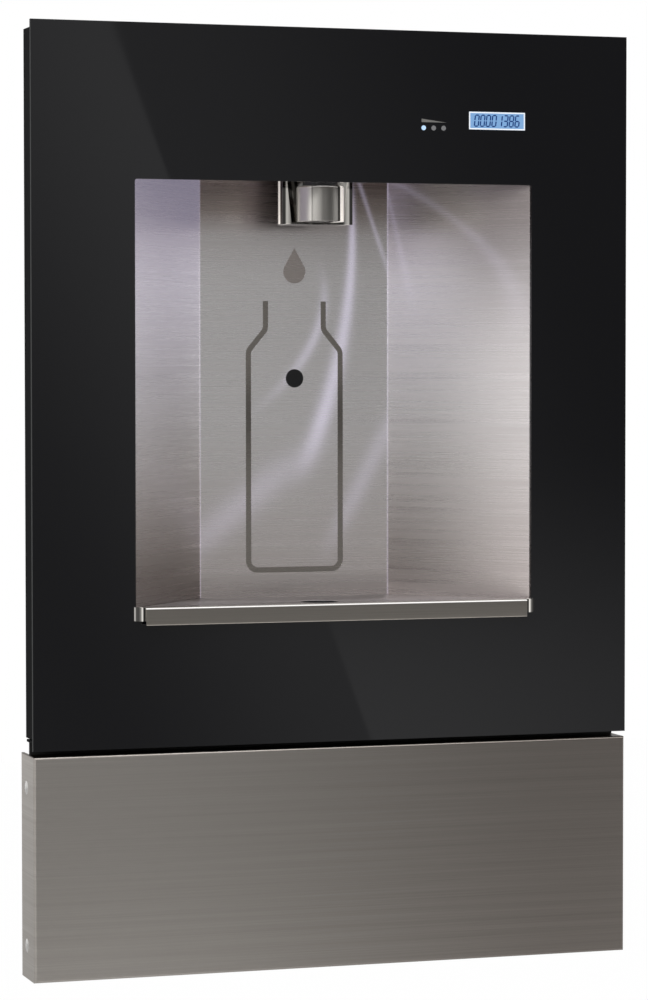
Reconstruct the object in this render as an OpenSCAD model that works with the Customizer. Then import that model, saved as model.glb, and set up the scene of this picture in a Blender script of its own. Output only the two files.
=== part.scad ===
// In-wall bottle filling station, in millimetres.
// The origin is on the finished wall, at the middle of the wall box's flange.
// +Z is up and +Y goes into the wall, so the glass face looks along -Y.

/* [Front] */
// Width of the glass front
front_w = 440; // [430:1:460]
// Height of glass, open joint and lower panel together
front_h = 662; // [655:1:680]
// How far the glass face stands off the finished wall
front_d = 37; // [36:0.5:42]
// Thickness of the glass
glass_t = 3.2; // [3:0.1:5]
// Height of the lower panel
panel_h = 156.4; // [150:0.1:162]
// Open joint between lower panel and glass
reveal = 3.9; // [2:0.1:6]
// Thickness of the lower panel's sheet
panel_t = 1.2; // [0.8:0.1:1.6]
// Outside bend radius of the lower panel
panel_bend_r = 2; // [1.8:0.1:4]

/* [Backing frame] */
// Thickness of the frame's sheet
frame_t = 1.2; // [1:0.1:1.6]
// Thickness of the tape between glass and frame
tape_t = 0.8; // [0.4:0.1:1.2]
// Distance from glass face to the back of the frame's rim
rim_d = 21.3; // [18:0.1:24]
// How far the frame stops below the top of the glass
frame_top_set = 5.3; // [3:0.1:10]
// How far the frame stops above the bottom of the glass
frame_low_set = 8; // [6:0.1:12]
// Thickness of the foot plate under the frame
foot_t = 1.8; // [1:0.1:2.4]
// Gap between foot plate and frame
foot_gap = 0.9; // [0.5:0.1:2]

/* [Alcove] */
// Width of the opening in the glass
opening_w = 293.4; // [285:0.1:300]
// Glass left above the opening
head_h = 107.7; // [102:0.1:112]
// Glass left below the opening
sill_h = 90.7; // [86:0.1:96]
// Distance from the glass face to the alcove's back wall
alcove_d = 99.1; // [94:0.1:104]
// Width of the alcove's back wall
back_w = 143.8; // [136:0.1:152]
// Thickness of the alcove's sheet
sheet_t = 1; // [0.8:0.1:1.5]
// How far the alcove's ceiling lies above the opening
ceiling_rise = 18; // [16:0.5:24]

/* [Bottle sign and sensor] */
// Width of the bottle outline, over its stroke
bottle_w = 74.4; // [70:0.1:80]
// From the bottle outline's top to the opening's top edge
bottle_gap = 81.7; // [76:0.1:88]
// Width of the bottle's neck, over its stroke
bottle_neck_w = 48.3; // [40:0.1:54]
// Width of the outline's stroke
stroke_w = 4; // [3:0.1:5]
// Width of the water drop
drop_w = 16.9; // [14:0.1:20]
// Height of the water drop
drop_h = 25.3; // [22:0.1:28]
// Diameter of the sensor window
sensor_d = 13.2; // [10:0.1:16]

/* [Nozzle] */
// Diameter of the nozzle body
nozzle_d = 34; // [30:0.5:36]
// Length of the nozzle body
nozzle_len = 25.4; // [22:0.1:28]
// Distance of the nozzle's axis behind the glass face
nozzle_set = 38; // [36:0.5:42]
// How far the nozzle hangs below the opening's top edge
nozzle_drop = 26.3; // [24:0.1:30]
// Outside diameter of the shroud behind the nozzle
shroud_d = 54; // [52:0.5:58]
// Distance of the shroud's axis behind the nozzle's axis
shroud_set = 12; // [11:0.5:14]

/* [Tray] */
// Width of the brushed bar
bar_w = 282; // [270:1:290]
// Height of the brushed bar
bar_h = 12.1; // [10:0.1:14]
// Width of the polished lip
lip_w = 296; // [290:1:308]
// Thickness of the tray's sheet
tray_t = 0.8; // [0.6:0.1:1]
// Diameter of the tray's drain hole
drain_d = 28; // [24:0.5:32]

/* [Drain and water] */
// Outside diameter of the drain pipe's free end
outlet_d = 31.75; // [30:0.25:32]
// Wall of the drain pipe
pipe_wall = 1.5; // [1:0.1:2]
// Outside diameter of the water tubes
tube_d = 9.525; // [8:0.025:10]
// Wall of the water tubes
tube_wall = 1.4; // [1:0.1:2]
// Bend radius of the water tubes
tube_bend_r = 12; // [11:0.5:12]

/* [Wall box] */
// How far the front reaches past the box on either side
side_lap = 39; // [37:0.5:42]
// How far the front reaches past the box above and below
end_lap = 28; // [26:0.5:31]
// Depth of the box behind the wall
box_d = 92; // [90:1:98]
// Thickness of the box's sheet
box_t = 1.2; // [1:0.1:1.6]
// Width of the flange round the box
flange_w = 12; // [11:0.5:14]

/* [Filter] */
// Diameter of the filter cartridge
cartridge_d = 66; // [60:1:68]
// Length of the cartridge's body
cartridge_len = 198; // [180:1:215]

/* [Hidden] */
$fn = 48;

// Shared overrun of cuts, gap between parts that move apart, gap between parts that sit together
over = 1;
slip = 0.3;
fit = 0.1;

// The box between the studs, and the opening's height
box_w = front_w - 2 * side_lap;
box_h = front_h - 2 * end_lap;
opening_h = front_h - panel_h - reveal - sill_h - head_h;

// Levels from the bottom of the front to its top
low = -front_h / 2;
high = front_h / 2;
panel_top = low + panel_h;
glass_low = panel_top + reveal;
sill_z = glass_low + sill_h;
head_z = sill_z + opening_h;
ceiling_z = head_z + ceiling_rise;

// Depths from the glass face to the alcove's back wall
face_y = -front_d;
glass_back_y = face_y + glass_t;
plate_y = glass_back_y + tape_t;
plate_back_y = plate_y + frame_t;
rim_y = face_y + rim_d;
shell_y = glass_back_y + slip;
back_y = face_y + alcove_d;
box_front_y = -box_t;
box_floor_z = -box_h / 2 + box_t;
box_back_y = box_d - box_t;
weld_gap = 0.05;

// Screw sizes shared by the sheet metal
screw_r = 1.8;
screw_head_r = 3.6;
screw_head_h = 1.4;
screw_len = 8;
flange_screw_len = box_t + frame_t - fit;

// Stud screw holes in the box's sides
stud_hole_r = 2.6;
stud_front_y = 25;
stud_pitch_y = 45;
stud_end = 63;
stud_pitch_z = box_h - 2 * stud_end;
stud_y = stud_front_y + stud_pitch_y / 2;

// Frame: rim, rear return, spacer walls that stand on the flange, hook and screw tabs
frame_low = glass_low + frame_low_set;
frame_high = high - frame_top_set;
spacer_edge = 0.8;
spacer_half = box_w / 2 + flange_w - spacer_edge;
spacer_high = box_h / 2 + flange_w - spacer_edge;
hook_t = 1.2;
rail_t = 1.2;
rail_reach = 7.8;
rail_lip_h = 6.5;
rail_w = 300;
rail_low = box_h / 2 + spacer_edge / 2;
rail_screw_x = 110;
rail_screw_z = rail_low + rail_t + screw_head_r + spacer_edge;
tab_h = 20;
tab_low = frame_low + flange_w;
tab_w = flange_w - spacer_edge - fit;

// Foot plate: bosses and screws
foot_y = glass_back_y + slip;
foot_d = 16;
foot_boss_r = 4;
foot_screw_x = 165;
foot_screw_y = foot_y + foot_d / 2;

// Glass: corner radius of the opening, tape strips
opening_r = 1.5;
tape_set = 6;
tape_w = 12;

// Counter window and status lights, from the glass's top edge and the middle
window_x = 120.3;
window_drop = 62.35;
window_w = 42.6;
window_h = 12.5;
window_z = high - window_drop;
light_d = 3.5;
light_x = 64.7;
light_pitch = 7.5;
light_drop = 68.3;
light_z = high - light_drop;
display_sink = 0.3;
board_t = 1.6;
board_gap = 5;
board_y = plate_back_y + board_gap;
board_half = 48;
board_set = 33.3;
board_x = window_x - board_set;
board_h = 30;
board_post_r = 2.4;
board_edge = 4;

// Alcove plan: half width at a depth, and the sheet's width across the splay
function half_at(y) = back_w / 2 + (opening_w - back_w) / 2 * (back_y - y) / (back_y - shell_y);
splay = (opening_w - back_w) / 2 / (back_y - shell_y);
sheet_x = sheet_t * sqrt(1 + splay * splay);
floor_set = 0.6;
floor_z = sill_z + floor_set;
shell_flange_w = 18;
frame_cut_half = opening_w / 2 + sheet_x + slip;
stud_x = opening_w / 2 + shell_flange_w * 2 / 3;
stud_low_z = floor_z + shell_flange_w;
stud_count = 4;
stud_step = (ceiling_z - floor_z - 2 * shell_flange_w) / (stud_count - 1);
stud_r = 2;
stud_len = 5;
nut_r = 4;
nut_t = 3;
apron_lap = 2;
apron_h = ceiling_rise - apron_lap;
apron_half = half_at(shell_y + sheet_t) - fit;

// Bottle sign, drop and sensor, from the tray floor's foot
tray_rise = 6;
tray_z = sill_z + tray_rise;
groove_d = 0.5;
inlay_sink = 0.1;
inlay_gap = 0.05;
bottle_rise = 17.4;
bottle_low = tray_z + bottle_rise;
bottle_high = head_z - bottle_gap;
bottle_h = bottle_high - bottle_low;
bottle_mid = stroke_w / 2;
neck_h = 20.6;
neck_low = bottle_high - neck_h;
shoulder_h = 15.6;
shoulder_low = neck_low - shoulder_h;
bottle_round = 7;
drop_set = 68.6;
drop_low = head_z - drop_set;
drop_round = 0.3;
sensor_set = 56.3;
sensor_z = bottle_high - sensor_set;
sensor_proud = 0.5;
sensor_seat_r = sensor_d / 2 + 3;
sensor_seat_t = 2;
sensor_len = 6;
module_w = 32;
module_h = 44;
module_d = 16;
module_y = back_y + sheet_t + sensor_seat_t;
module_post_r = 3;

// Nozzle, neck, straightener and seal
nozzle_y = face_y + nozzle_set;
nozzle_low = head_z - nozzle_drop;
nozzle_top = nozzle_low + nozzle_len;
nozzle_round = 2;
neck_r = 12.5;
neck_in = 6;
neck_bore_r = 6;
neck_rise = 14;
neck_top = ceiling_z + neck_rise;
neck_socket = 8;
seal_r = 1.4;
straight_r = 10.5;
straight_h = 9;
straight_sink = 1;
straight_hole_r = 1.1;
straight_pitch = 3.4;
straight_rings = 2;
neck_nut_h = 6;
neck_nut_r = 17;

// Shroud: flat front, conical bore, bottom plate
shroud_y = nozzle_y + shroud_set;
shroud_r = shroud_d / 2;
shroud_cut = 6;
shroud_bore_top = 25.2;
shroud_bore_low = 20.5;
shroud_plate_t = 1.2;
shroud_gap = 0.4;
shroud_low = nozzle_low - shroud_gap - shroud_plate_t;
shroud_hole_r = 11;

// Ceiling light
lens_w = 110;
lens_d = 12;
lens_t = 2.4;
lens_set = 3;
lens_lip = 2;
lens_y = shell_y + sheet_t + lens_set;
led_w = 3;
led_pitch = 12;
led_count = 8;

// Tray: creases, skirt, collar and strainer
crease_half = 36;
crease_drop = 0.4;
rim_rise = 0.6;
tray_gap = 0.7;
skirt_z = floor_z + slip;
tray_nose = 3.4;
tray_front_y = face_y - tray_nose;
tray_back_y = back_y - slip;
drain_set = 3;
drain_y = nozzle_y + drain_set;
crease_z = tray_z - crease_drop;
rim_z = tray_z + rim_rise;
collar_t = 1;
collar_low = skirt_z + tray_t / 2;
ledge_w = 1.5;
strainer_t = 1.2;
strainer_hole_r = 1.3;
strainer_pitch = 4.2;
lip_d = 5.2;
lip_t = 0.8;
lip_end_r = 4.5;
lip_drop = 2.2;
lip_low = sill_z - lip_drop;
lip_high = rim_z + lip_t;
lip_leg = 1;
bar_t = 1.8;
bar_hem_r = 0.7;
bar_set = 0.5;
bar_high = lip_high - bar_set;
bar_low = bar_high - bar_h;

// Drain: dish in the alcove floor, cup, nuts and pipe
dish_d = 1.6;
cup_r = 20.5;
cup_flange_w = 7;
cup_flange_t = 1.2;
cup_top = floor_z - dish_d + cup_flange_t;
dish_r = cup_r + cup_flange_w + slip;
cup_len = 46;
cup_bore_top = 19.3;
cup_throat_r = 12.5;
cup_mouth_h = 6;
cup_funnel_h = 14;
cup_throat_h = 7;
cup_funnel_z = cup_top - cup_mouth_h;
cup_throat_z = cup_funnel_z - cup_funnel_h;
cup_socket_z = cup_throat_z - cup_throat_h;
pipe_over = 0.25;
pipe_r = outlet_d / 2 + pipe_over;
gasket_t = 1.5;
drain_nut_h = 6;
drain_nut_w = 7;
slip_nut_h = 12;
slip_nut_w = 5;
pipe_bend_r = 31;
pipe_back = 63;
pipe_drop = 86;
pipe_turn_z = cup_top - pipe_drop;
pipe_y = drain_y + pipe_back;
outlet_len = 20;
outlet_set = 4;
outlet_top = box_floor_z - box_t - outlet_set;
grommet_w = 3;
grommet_t = 2;

// Water: inlet through the box's floor, filter head ports, valve
inlet_set = 16;
inlet_x = inlet_set - box_w / 2;
inlet_y = 60;
inlet_stub = 18;
inlet_flange_r = 10;
inlet_flange_t = 3;
inlet_body_r = 7.5;
inlet_body_h = 22;
inlet_nut_r = 11.5;
inlet_nut_h = 5;
port_h = 9;
port_r = 7;
port_sink = 6;

filter_y = 4;
filter_rise = 84;
filter_z = low + filter_rise;
head_set = 29;
head_x = head_set - box_w / 2;
head_r = cartridge_d / 2;
head_len = 40;
head_cap = 10;
head_wall = 6;
ledge_t = 3;
ledge_gap = 64;
lug_t = 3;
lug_angle = 50;
lug_grow = 2.4;
collar_r = 24;
spigot_r = 14;
spigot_len = 14;
spigot_wall = 4;
ring_r = 1.3;
ring_seat_r = spigot_r + fit / 2 + inlay_gap - ring_r;
port_set = 6;
port_x = head_x + head_cap + port_set;
port_y = 13;
cartridge_round = 10;
cartridge_neck = 3;
grip_w = 8;
grip_h = 10;
cartridge_x = head_x + head_len + cartridge_neck;
bracket_t = 1.2;
bracket_foot = 22;

valve_set = 66;
valve_x = box_w / 2 - valve_set;
valve_y = 50;
valve_drop = 49.6;
valve_z = floor_z - valve_drop;
valve_w = 36;
valve_side = 26;
valve_port_len = 8;
guide_bore_r = 5.1;
guide_wall = 1.6;
guide_h = 30;
coil_r = 15;
coil_h = 26;
plunger_r = 5.05;
plunger_len = 24;
seat_gap = 0.1;
seat_h = 7;
passage_r = 2.5;
seat_r = 2;
feed_r = 0.9;
feed_set = 4;
spring_r = 3.6;
spring_wire = 0.8;
spring_turns = 4;
lift = 3;

// Electrics in the space between the alcove's back wall and the box's back
rear_y = back_y + sheet_t + board_gap;
unit_in = 40;
unit_rise = 49.4;
unit_foot = 4.8;
supply_w = 54;
supply_h = 120;
supply_x = [unit_in, unit_in + supply_w];
supply_y = [rear_y, box_back_y - unit_foot];
supply_z = [floor_z + unit_rise, floor_z + unit_rise + supply_h];
control_w = 70;
control_h = 140;
control_x = [-unit_in - control_w, -unit_in];
control_y = [rear_y, box_back_y - unit_foot];
control_z = [floor_z + unit_rise, floor_z + unit_rise + control_h];
cover_t = 2;
fin_count = 7;
fin_w = 2.5;
fin_h = 4;
bushing_set = 31;
bushing_x = box_w / 2 - bushing_set;
bushing_y = 55;
bushing_r = 9;
lead_r = 1.6;
lead_bend_r = 6;

// Lower panel: returns, screws, nuts and brackets
panel_set = 0.3;
top_return_d = 19;
panel_half = front_w / 2 - panel_set;
panel_back_y = -slip;
side_screw_set = 22;
side_screw_rise = 23.2;
side_screw_y = face_y + side_screw_set;
side_screw_low = low + side_screw_rise;
side_screw_high = panel_top - side_screw_rise;
side_screw_r = 2;
side_screw_gap = 0.3;
side_head_r = 4.75;
side_head_h = 0.8;
side_screw_len = 11;
leg_t = 1.2;
leg_out = panel_half - panel_t - slip;
leg_set = 6;
leg_clear = 12;
foot_set = 2.5;
leg_front_y = face_y + leg_set;
leg_low = low + leg_clear;
leg_high = panel_top - leg_clear;
foot_in = box_w / 2 + foot_set;
side_nut_w = 8;
side_nut_t = 3;
bracket_screw_x = box_w / 2 + flange_w / 2;
bracket_screw_set = 22;
bracket_screw_z = [leg_low + bracket_screw_set, leg_high - bracket_screw_set];

// Pieces of geometry that several modules use

// A block between two x, two y and two z values
module block(x, y, z) {
    translate([x[0], y[0], z[0]]) cube([x[1] - x[0], y[1] - y[0], z[1] - z[0]]);
}

// Profiles drawn as (y, z), (x, z) and (x, y), drawn out between two values
module along_x(x) {
    translate([x[0], 0, 0]) rotate([90, 0, 90]) linear_extrude(x[1] - x[0]) children();
}
module along_y(y) {
    translate([0, y[1], 0]) rotate([90, 0, 0]) linear_extrude(y[1] - y[0]) children();
}
module along_z(z) {
    translate([0, 0, z[0]]) linear_extrude(z[1] - z[0]) children();
}

// A rectangle with round corners, from true arcs
module round_rect(x, z, r) {
    translate([x[0] + r, z[0]]) square([x[1] - x[0] - 2 * r, z[1] - z[0]]);
    translate([x[0], z[0] + r]) square([x[1] - x[0], z[1] - z[0] - 2 * r]);
    for (u = [x[0] + r, x[1] - r], v = [z[0] + r, z[1] - r]) translate([u, v]) circle(r);
}

// A tube along straight legs that meet square, with true bends of one radius
function unit(v) = v / norm(v);
module ring_leg(from, to, r, bore) {
    ahead = unit(to - from);
    side = abs(ahead.z) > 0.5 ? [1, 0, 0] : [0, 0, 1];
    third = cross(ahead, side);
    multmatrix([
        [side.x, third.x, ahead.x, from.x],
        [side.y, third.y, ahead.y, from.y],
        [side.z, third.z, ahead.z, from.z],
        [0, 0, 0, 1]
    ]) linear_extrude(norm(to - from)) ring_outline(r, bore);
}
module ring_outline(r, bore) {
    difference() {
        circle(r);
        if (bore > 0) circle(bore);
    }
}
module elbow(corner, come, go, bend, r, bore) {
    centre = corner - come * bend + go * bend;
    third = cross(-go, come);
    multmatrix([
        [-go.x, come.x, third.x, centre.x],
        [-go.y, come.y, third.y, centre.y],
        [-go.z, come.z, third.z, centre.z],
        [0, 0, 0, 1]
    ]) rotate_extrude(angle = 90) translate([bend, 0]) ring_outline(r, bore);
}
module tube(path, bend, r, bore) {
    last = len(path) - 1;
    for (i = [0 : last - 1]) {
        ahead = unit(path[i + 1] - path[i]);
        from = path[i] + (i > 0 ? bend : 0) * ahead;
        to = path[i + 1] - (i < last - 1 ? bend : 0) * ahead;
        ring_leg(from, to, r, bore);
        if (i > 0) elbow(path[i], unit(path[i] - path[i - 1]), ahead, bend, r, bore);
    }
}

// A screw with its head's seat at the origin, its shank along -Z
module pan_screw(len) {
    translate([0, 0, -len]) cylinder(h = len, r = screw_r);
    cylinder(h = screw_head_h, r1 = screw_head_r, r2 = screw_head_r * 0.8);
}
module hex_nut(r, h, bore) {
    difference() {
        cylinder(h = h, r = r, $fn = 6);
        translate([0, 0, -over]) cylinder(h = h + 2 * over, r = bore);
    }
}

// Plan of the alcove: the space inside its sheet, or with its sheet
module alcove_plan(out) {
    grow = out * sheet_x;
    deep = back_y + out * sheet_t;
    polygon([
        [-half_at(shell_y) - grow, shell_y], [half_at(shell_y) + grow, shell_y],
        [half_at(deep) + grow, deep], [-half_at(deep) - grow, deep]
    ]);
}

// Wall box: five plates welded at their edges, open in front, screwed to the studs
module wall_box() color("silver") {
    half = box_w / 2;
    tall = box_h / 2;
    inner = half - box_t;
    plate_y = [box_front_y, box_back_y - weld_gap];
    block([-half, half], [box_back_y, box_d], [-tall, tall]);
    for (s = [-1, 1]) difference() {
        block(s > 0 ? [inner, half] : [-half, -inner], plate_y, [-tall, tall]);
        for (y = [stud_y - stud_pitch_y / 2, stud_y + stud_pitch_y / 2],
            z = [-stud_pitch_z / 2, stud_pitch_z / 2])
            translate([-half - over, y, z]) rotate([0, 90, 0]) cylinder(h = box_w + 2 * over, r = stud_hole_r);
    }
    block([weld_gap - inner, inner - weld_gap], plate_y, [tall - box_t, tall]);
    difference() {
        block([weld_gap - inner, inner - weld_gap], plate_y, [-tall, box_floor_z]);
        for (hole = [
            [0, pipe_y, pipe_r + grommet_w - slip], [inlet_x, inlet_y, inlet_body_r + fit],
            [bushing_x, bushing_y, bushing_r]
        ]) translate([hole.x, hole.y, -tall - over]) cylinder(h = box_t + 2 * over, r = hole.z);
    }
}

// Flange: a flat ring welded round the box's front edge, which lies on the finished wall
module wall_flange() color("silver") difference() {
    half = box_w / 2;
    tall = box_h / 2;
    block([-half - flange_w, half + flange_w], [box_front_y, 0], [-tall - flange_w, tall + flange_w]);
    block([-half, half], [box_front_y - over, over], [-tall, tall]);
    screw_holes(screw_r + fit);
}

// The places of the screws that hold rail, frame and brackets to the box's flange
module flange_screw_places() {
    for (s = [-1, 1]) {
        translate([s * rail_screw_x, box_front_y - rail_t, rail_screw_z]) rotate([90, 0, 0]) children();
        translate([s * bracket_screw_x, box_front_y - frame_t, tab_low + tab_h / 2])
            rotate([90, 0, 0]) children();
        for (z = bracket_screw_z)
            translate([s * bracket_screw_x, box_front_y - bracket_t, z]) rotate([90, 0, 0]) children();
    }
}
module foot_screw_places() {
    for (s = [-1, 1]) translate([s * foot_screw_x, foot_screw_y, frame_low - foot_gap - foot_t])
        rotate([180, 0, 0]) children();
}
module screw_holes(r) {
    flange_screw_places() translate([0, 0, -screw_len]) cylinder(h = screw_len + over, r = r);
}
module mounting_screws() color("gainsboro") {
    flange_screw_places() pan_screw(flange_screw_len);
    foot_screw_places() pan_screw(screw_len);
}

// Rail on the flange, whose upturned lip carries the front
module hanger_rail() color("silver") difference() {
    foot_y0 = box_front_y - rail_t;
    along_x([-rail_w / 2, rail_w / 2]) polygon([
        [box_front_y, rail_low], [box_front_y, spacer_high - frame_t - slip],
        [foot_y0, spacer_high - frame_t - slip], [foot_y0, rail_low + rail_t],
        [box_front_y - rail_reach + rail_t, rail_low + rail_t],
        [box_front_y - rail_reach + rail_t, rail_low + rail_lip_h],
        [box_front_y - rail_reach, rail_low + rail_lip_h], [box_front_y - rail_reach, rail_low]
    ]);
    screw_holes(screw_r + fit);
}

// Backing frame: front plate, rim, rear return, spacer walls, hook and studs
module backing_frame() color("dimgray") {
    half = front_w / 2;
    cut_low = floor_z - sheet_t - slip;
    cut_high = ceiling_z + sheet_t + slip;
    hook_y = box_front_y - rail_reach + rail_t + slip;
    difference() {
        union() {
            difference() {
                block([-half, half], [plate_y, rim_y], [frame_low, frame_high]);
                block([frame_t - half, half - frame_t], [plate_back_y, rim_y - frame_t],
                    [frame_low + frame_t, frame_high - frame_t]);
            }
            block([-spacer_half, spacer_half], [rim_y - frame_t, box_front_y], [frame_low, spacer_high]);
        }
        block([frame_t - spacer_half, spacer_half - frame_t], [rim_y - frame_t - over, over],
            [frame_low + flange_w, spacer_high - frame_t]);
        block([frame_t - spacer_half, spacer_half - frame_t], [rim_y, over],
            [frame_low - over, spacer_high - frame_t]);
        block([-frame_cut_half, frame_cut_half], [plate_y - over, plate_back_y + over], [cut_low, cut_high]);
        display_openings([plate_y - over, plate_back_y + over], slip);
        foot_screw_places() translate([0, 0, -screw_len]) cylinder(h = screw_len + over, r = screw_r + fit);
    }
    block([-rail_w / 2, rail_w / 2], [hook_y, hook_y + hook_t],
        [rail_low + rail_t + slip, spacer_high - frame_t / 2]);
    for (s = [-1, 1]) difference() {
        translate([s * (spacer_half - frame_t / 2) - (s > 0 ? tab_w : 0), box_front_y - frame_t, tab_low])
            cube([tab_w, frame_t, tab_h]);
        screw_holes(screw_r + fit);
    }
    for (s = [-1, 1], i = [0 : stud_count - 1])
        translate([s * stud_x, plate_back_y - frame_t / 2, stud_low_z + i * stud_step])
            rotate([-90, 0, 0]) cylinder(h = stud_len + frame_t / 2, r = stud_r);
    for (x = [board_x - board_half + board_edge, board_x + board_half - board_edge],
         z = [window_z - board_h / 2 + board_edge, window_z + board_h / 2 - board_edge])
        translate([x, plate_back_y - frame_t / 2, z]) rotate([-90, 0, 0])
            cylinder(h = board_gap + frame_t / 2, r = board_post_r);
}

// Foot plate, held off the frame by bosses
module foot_plate() color("black") difference() {
    top = frame_low - foot_gap;
    union() {
        block([-front_w / 2, front_w / 2], [foot_y, foot_y + foot_d], [top - foot_t, top]);
        for (s = [-1, 1]) translate([s * foot_screw_x, foot_screw_y, top])
            cylinder(h = foot_gap, r = foot_boss_r);
    }
    foot_screw_places() translate([0, 0, -screw_len]) cylinder(h = screw_len + over, r = screw_r + fit);
}

// Window for the counter and holes for the status lights
module display_openings(y, gap) {
    along_y(y) {
        translate([window_x, window_z]) square([window_w + 2 * gap, window_h + 2 * gap], center = true);
        for (i = [0 : 2]) translate([light_x + i * light_pitch, light_z]) circle(light_d / 2 + gap);
    }
}

// Glass front with the alcove's opening
module glass_panel() color([0.08, 0.08, 0.09]) difference() {
    block([-front_w / 2, front_w / 2], [face_y, glass_back_y], [glass_low, high]);
    along_y([face_y - over, glass_back_y + over])
        round_rect([-opening_w / 2, opening_w / 2], [sill_z, head_z], opening_r);
    display_openings([face_y - over, glass_back_y + over], fit);
}

// Adhesive strips: one ring along the frame's edge and one round the opening
module tape_ring(x, z) {
    along_y([glass_back_y, plate_y]) difference() {
        translate([-x, z[0]]) square([2 * x, z[1] - z[0]]);
        translate([tape_w - x, z[0] + tape_w]) square([2 * (x - tape_w), z[1] - z[0] - 2 * tape_w]);
    }
}
module glass_tape() color("black") {
    tape_ring(front_w / 2 - tape_set, [frame_low + tape_set, frame_high - tape_set]);
    tape_ring(frame_cut_half + tape_w, [floor_z - sheet_t - slip - tape_w, ceiling_z + sheet_t + slip + tape_w]);
}

// Alcove shell: back wall, two splayed walls and their flanges, from one sheet
module alcove_shell() color("lightgray") difference() {
    union() {
        along_z([floor_z, ceiling_z]) difference() {
            alcove_plan(1);
            open_plan();
        }
        for (s = [0, 1]) mirror([s, 0, 0])
            block([half_at(plate_back_y) + sheet_x / 2, opening_w / 2 + shell_flange_w],
                [plate_back_y, plate_back_y + sheet_t], [floor_z, ceiling_z]);
    }
    along_y([back_y - over, back_y + groove_d]) bottle_ring(0);
    along_y([back_y - over, back_y + groove_d]) drop_outline(0);
    translate([0, back_y - over, sensor_z]) rotate([-90, 0, 0])
        cylinder(h = sheet_t + 2 * over, r = sensor_d / 2 + fit);
    for (s = [-1, 1], i = [0 : stud_count - 1])
        translate([s * stud_x, plate_back_y - over, stud_low_z + i * stud_step])
            rotate([-90, 0, 0]) cylinder(h = sheet_t + 2 * over, r = stud_r + fit);
}
// The plan's inside, run out past the front so that the shell is open there
module open_plan() {
    ahead = shell_y - over;
    polygon([
        [-half_at(ahead), ahead], [half_at(ahead), ahead],
        [half_at(back_y), back_y], [-half_at(back_y), back_y]
    ]);
}

// Ceiling: plate on the shell's top edge, with an apron down behind the glass
module alcove_ceiling() color("lightgray") difference() {
    union() {
        along_z([ceiling_z, ceiling_z + sheet_t]) alcove_plan(1);
        block([-apron_half, apron_half], [shell_y, shell_y + sheet_t],
            [ceiling_z - apron_h, ceiling_z + sheet_t / 2]);
    }
    translate([0, nozzle_y, ceiling_z - over]) cylinder(h = sheet_t + 2 * over, r = neck_r + fit);
    block([-lens_w / 2, lens_w / 2], [lens_y, lens_y + lens_d], [ceiling_z - over, ceiling_z + sheet_t + over]);
}

// Floor under the tray, dished round the drain
module alcove_floor() color("lightgray") difference() {
    union() {
        along_z([floor_z - sheet_t, floor_z]) alcove_plan(1);
        translate([0, drain_y, floor_z - dish_d - sheet_t]) cylinder(h = dish_d + sheet_t, r = dish_r + sheet_t);
    }
    translate([0, drain_y, floor_z - dish_d]) cylinder(h = dish_d + over, r = dish_r);
    translate([0, drain_y, floor_z - dish_d - sheet_t - over])
        cylinder(h = dish_d + sheet_t + 2 * over, r = cup_r + fit);
}

module alcove_nuts() color("silver") {
    for (s = [-1, 1], i = [0 : stud_count - 1])
        translate([s * stud_x, plate_back_y + sheet_t, stud_low_z + i * stud_step])
            rotate([-90, 0, 0]) hex_nut(nut_r, nut_t, stud_r + inlay_gap);
}

// Bottle sign: an outline of one stroke, open at the neck
module bottle_solid(grow) {
    body = bottle_w / 2 - bottle_mid;
    neck = bottle_neck_w / 2 - bottle_mid;
    top = bottle_high + stroke_w;
    offset(delta = grow) offset(r = -bottle_round) offset(delta = bottle_round)
        offset(r = bottle_round) offset(delta = -bottle_round) polygon([
            [-body, bottle_low + bottle_mid], [body, bottle_low + bottle_mid], [body, shoulder_low],
            [neck, neck_low], [neck, top + bottle_round], [-neck, top + bottle_round],
            [-neck, neck_low], [-body, shoulder_low]
        ]);
}
module bottle_ring(gap) {
    difference() {
        bottle_solid(stroke_w / 2 - gap);
        bottle_solid(gap - stroke_w / 2);
        translate([-bottle_w / 2, bottle_high - gap]) square([bottle_w, bottle_h]);
    }
}
module bottle_outline() color("gray") {
    along_y([back_y + inlay_sink, back_y + groove_d]) bottle_ring(inlay_gap);
}
module drop_outline(gap) {
    r = drop_w / 2;
    hull() {
        translate([0, drop_low + r]) circle(r - gap, $fn = 64);
        translate([0, drop_low + drop_h - drop_round]) circle(drop_round - gap, $fn = 16);
    }
}
module water_drop() color("gray") {
    along_y([back_y + inlay_sink, back_y + groove_d]) drop_outline(inlay_gap);
}

// Sensor: black window through the back wall, with its module behind
module sensor_window() color("black") translate([0, back_y, sensor_z]) rotate([-90, 0, 0]) {
    translate([0, 0, -sensor_proud]) cylinder(h = sensor_proud + sheet_t + sensor_len / 2, r = sensor_d / 2);
    translate([0, 0, sheet_t]) cylinder(h = sensor_seat_t, r = sensor_seat_r);
}
module sensor_module() color("darkslategray") difference() {
    union() {
        along_y([module_y, module_y + module_d])
            round_rect([-module_w / 2, module_w / 2], [sensor_z - module_h / 2, sensor_z + module_h / 2],
                module_post_r);
        for (z = [sensor_z - module_h / 2 + module_post_r, sensor_z + module_h / 2 - module_post_r])
            translate([0, back_y + sheet_t, z]) rotate([-90, 0, 0])
                cylinder(h = sensor_seat_t + over, r = module_post_r);
    }
    translate([0, module_y - over, sensor_z]) rotate([-90, 0, 0])
        cylinder(h = sensor_len / 2 + over, r = sensor_d / 2 + fit);
}

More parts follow.
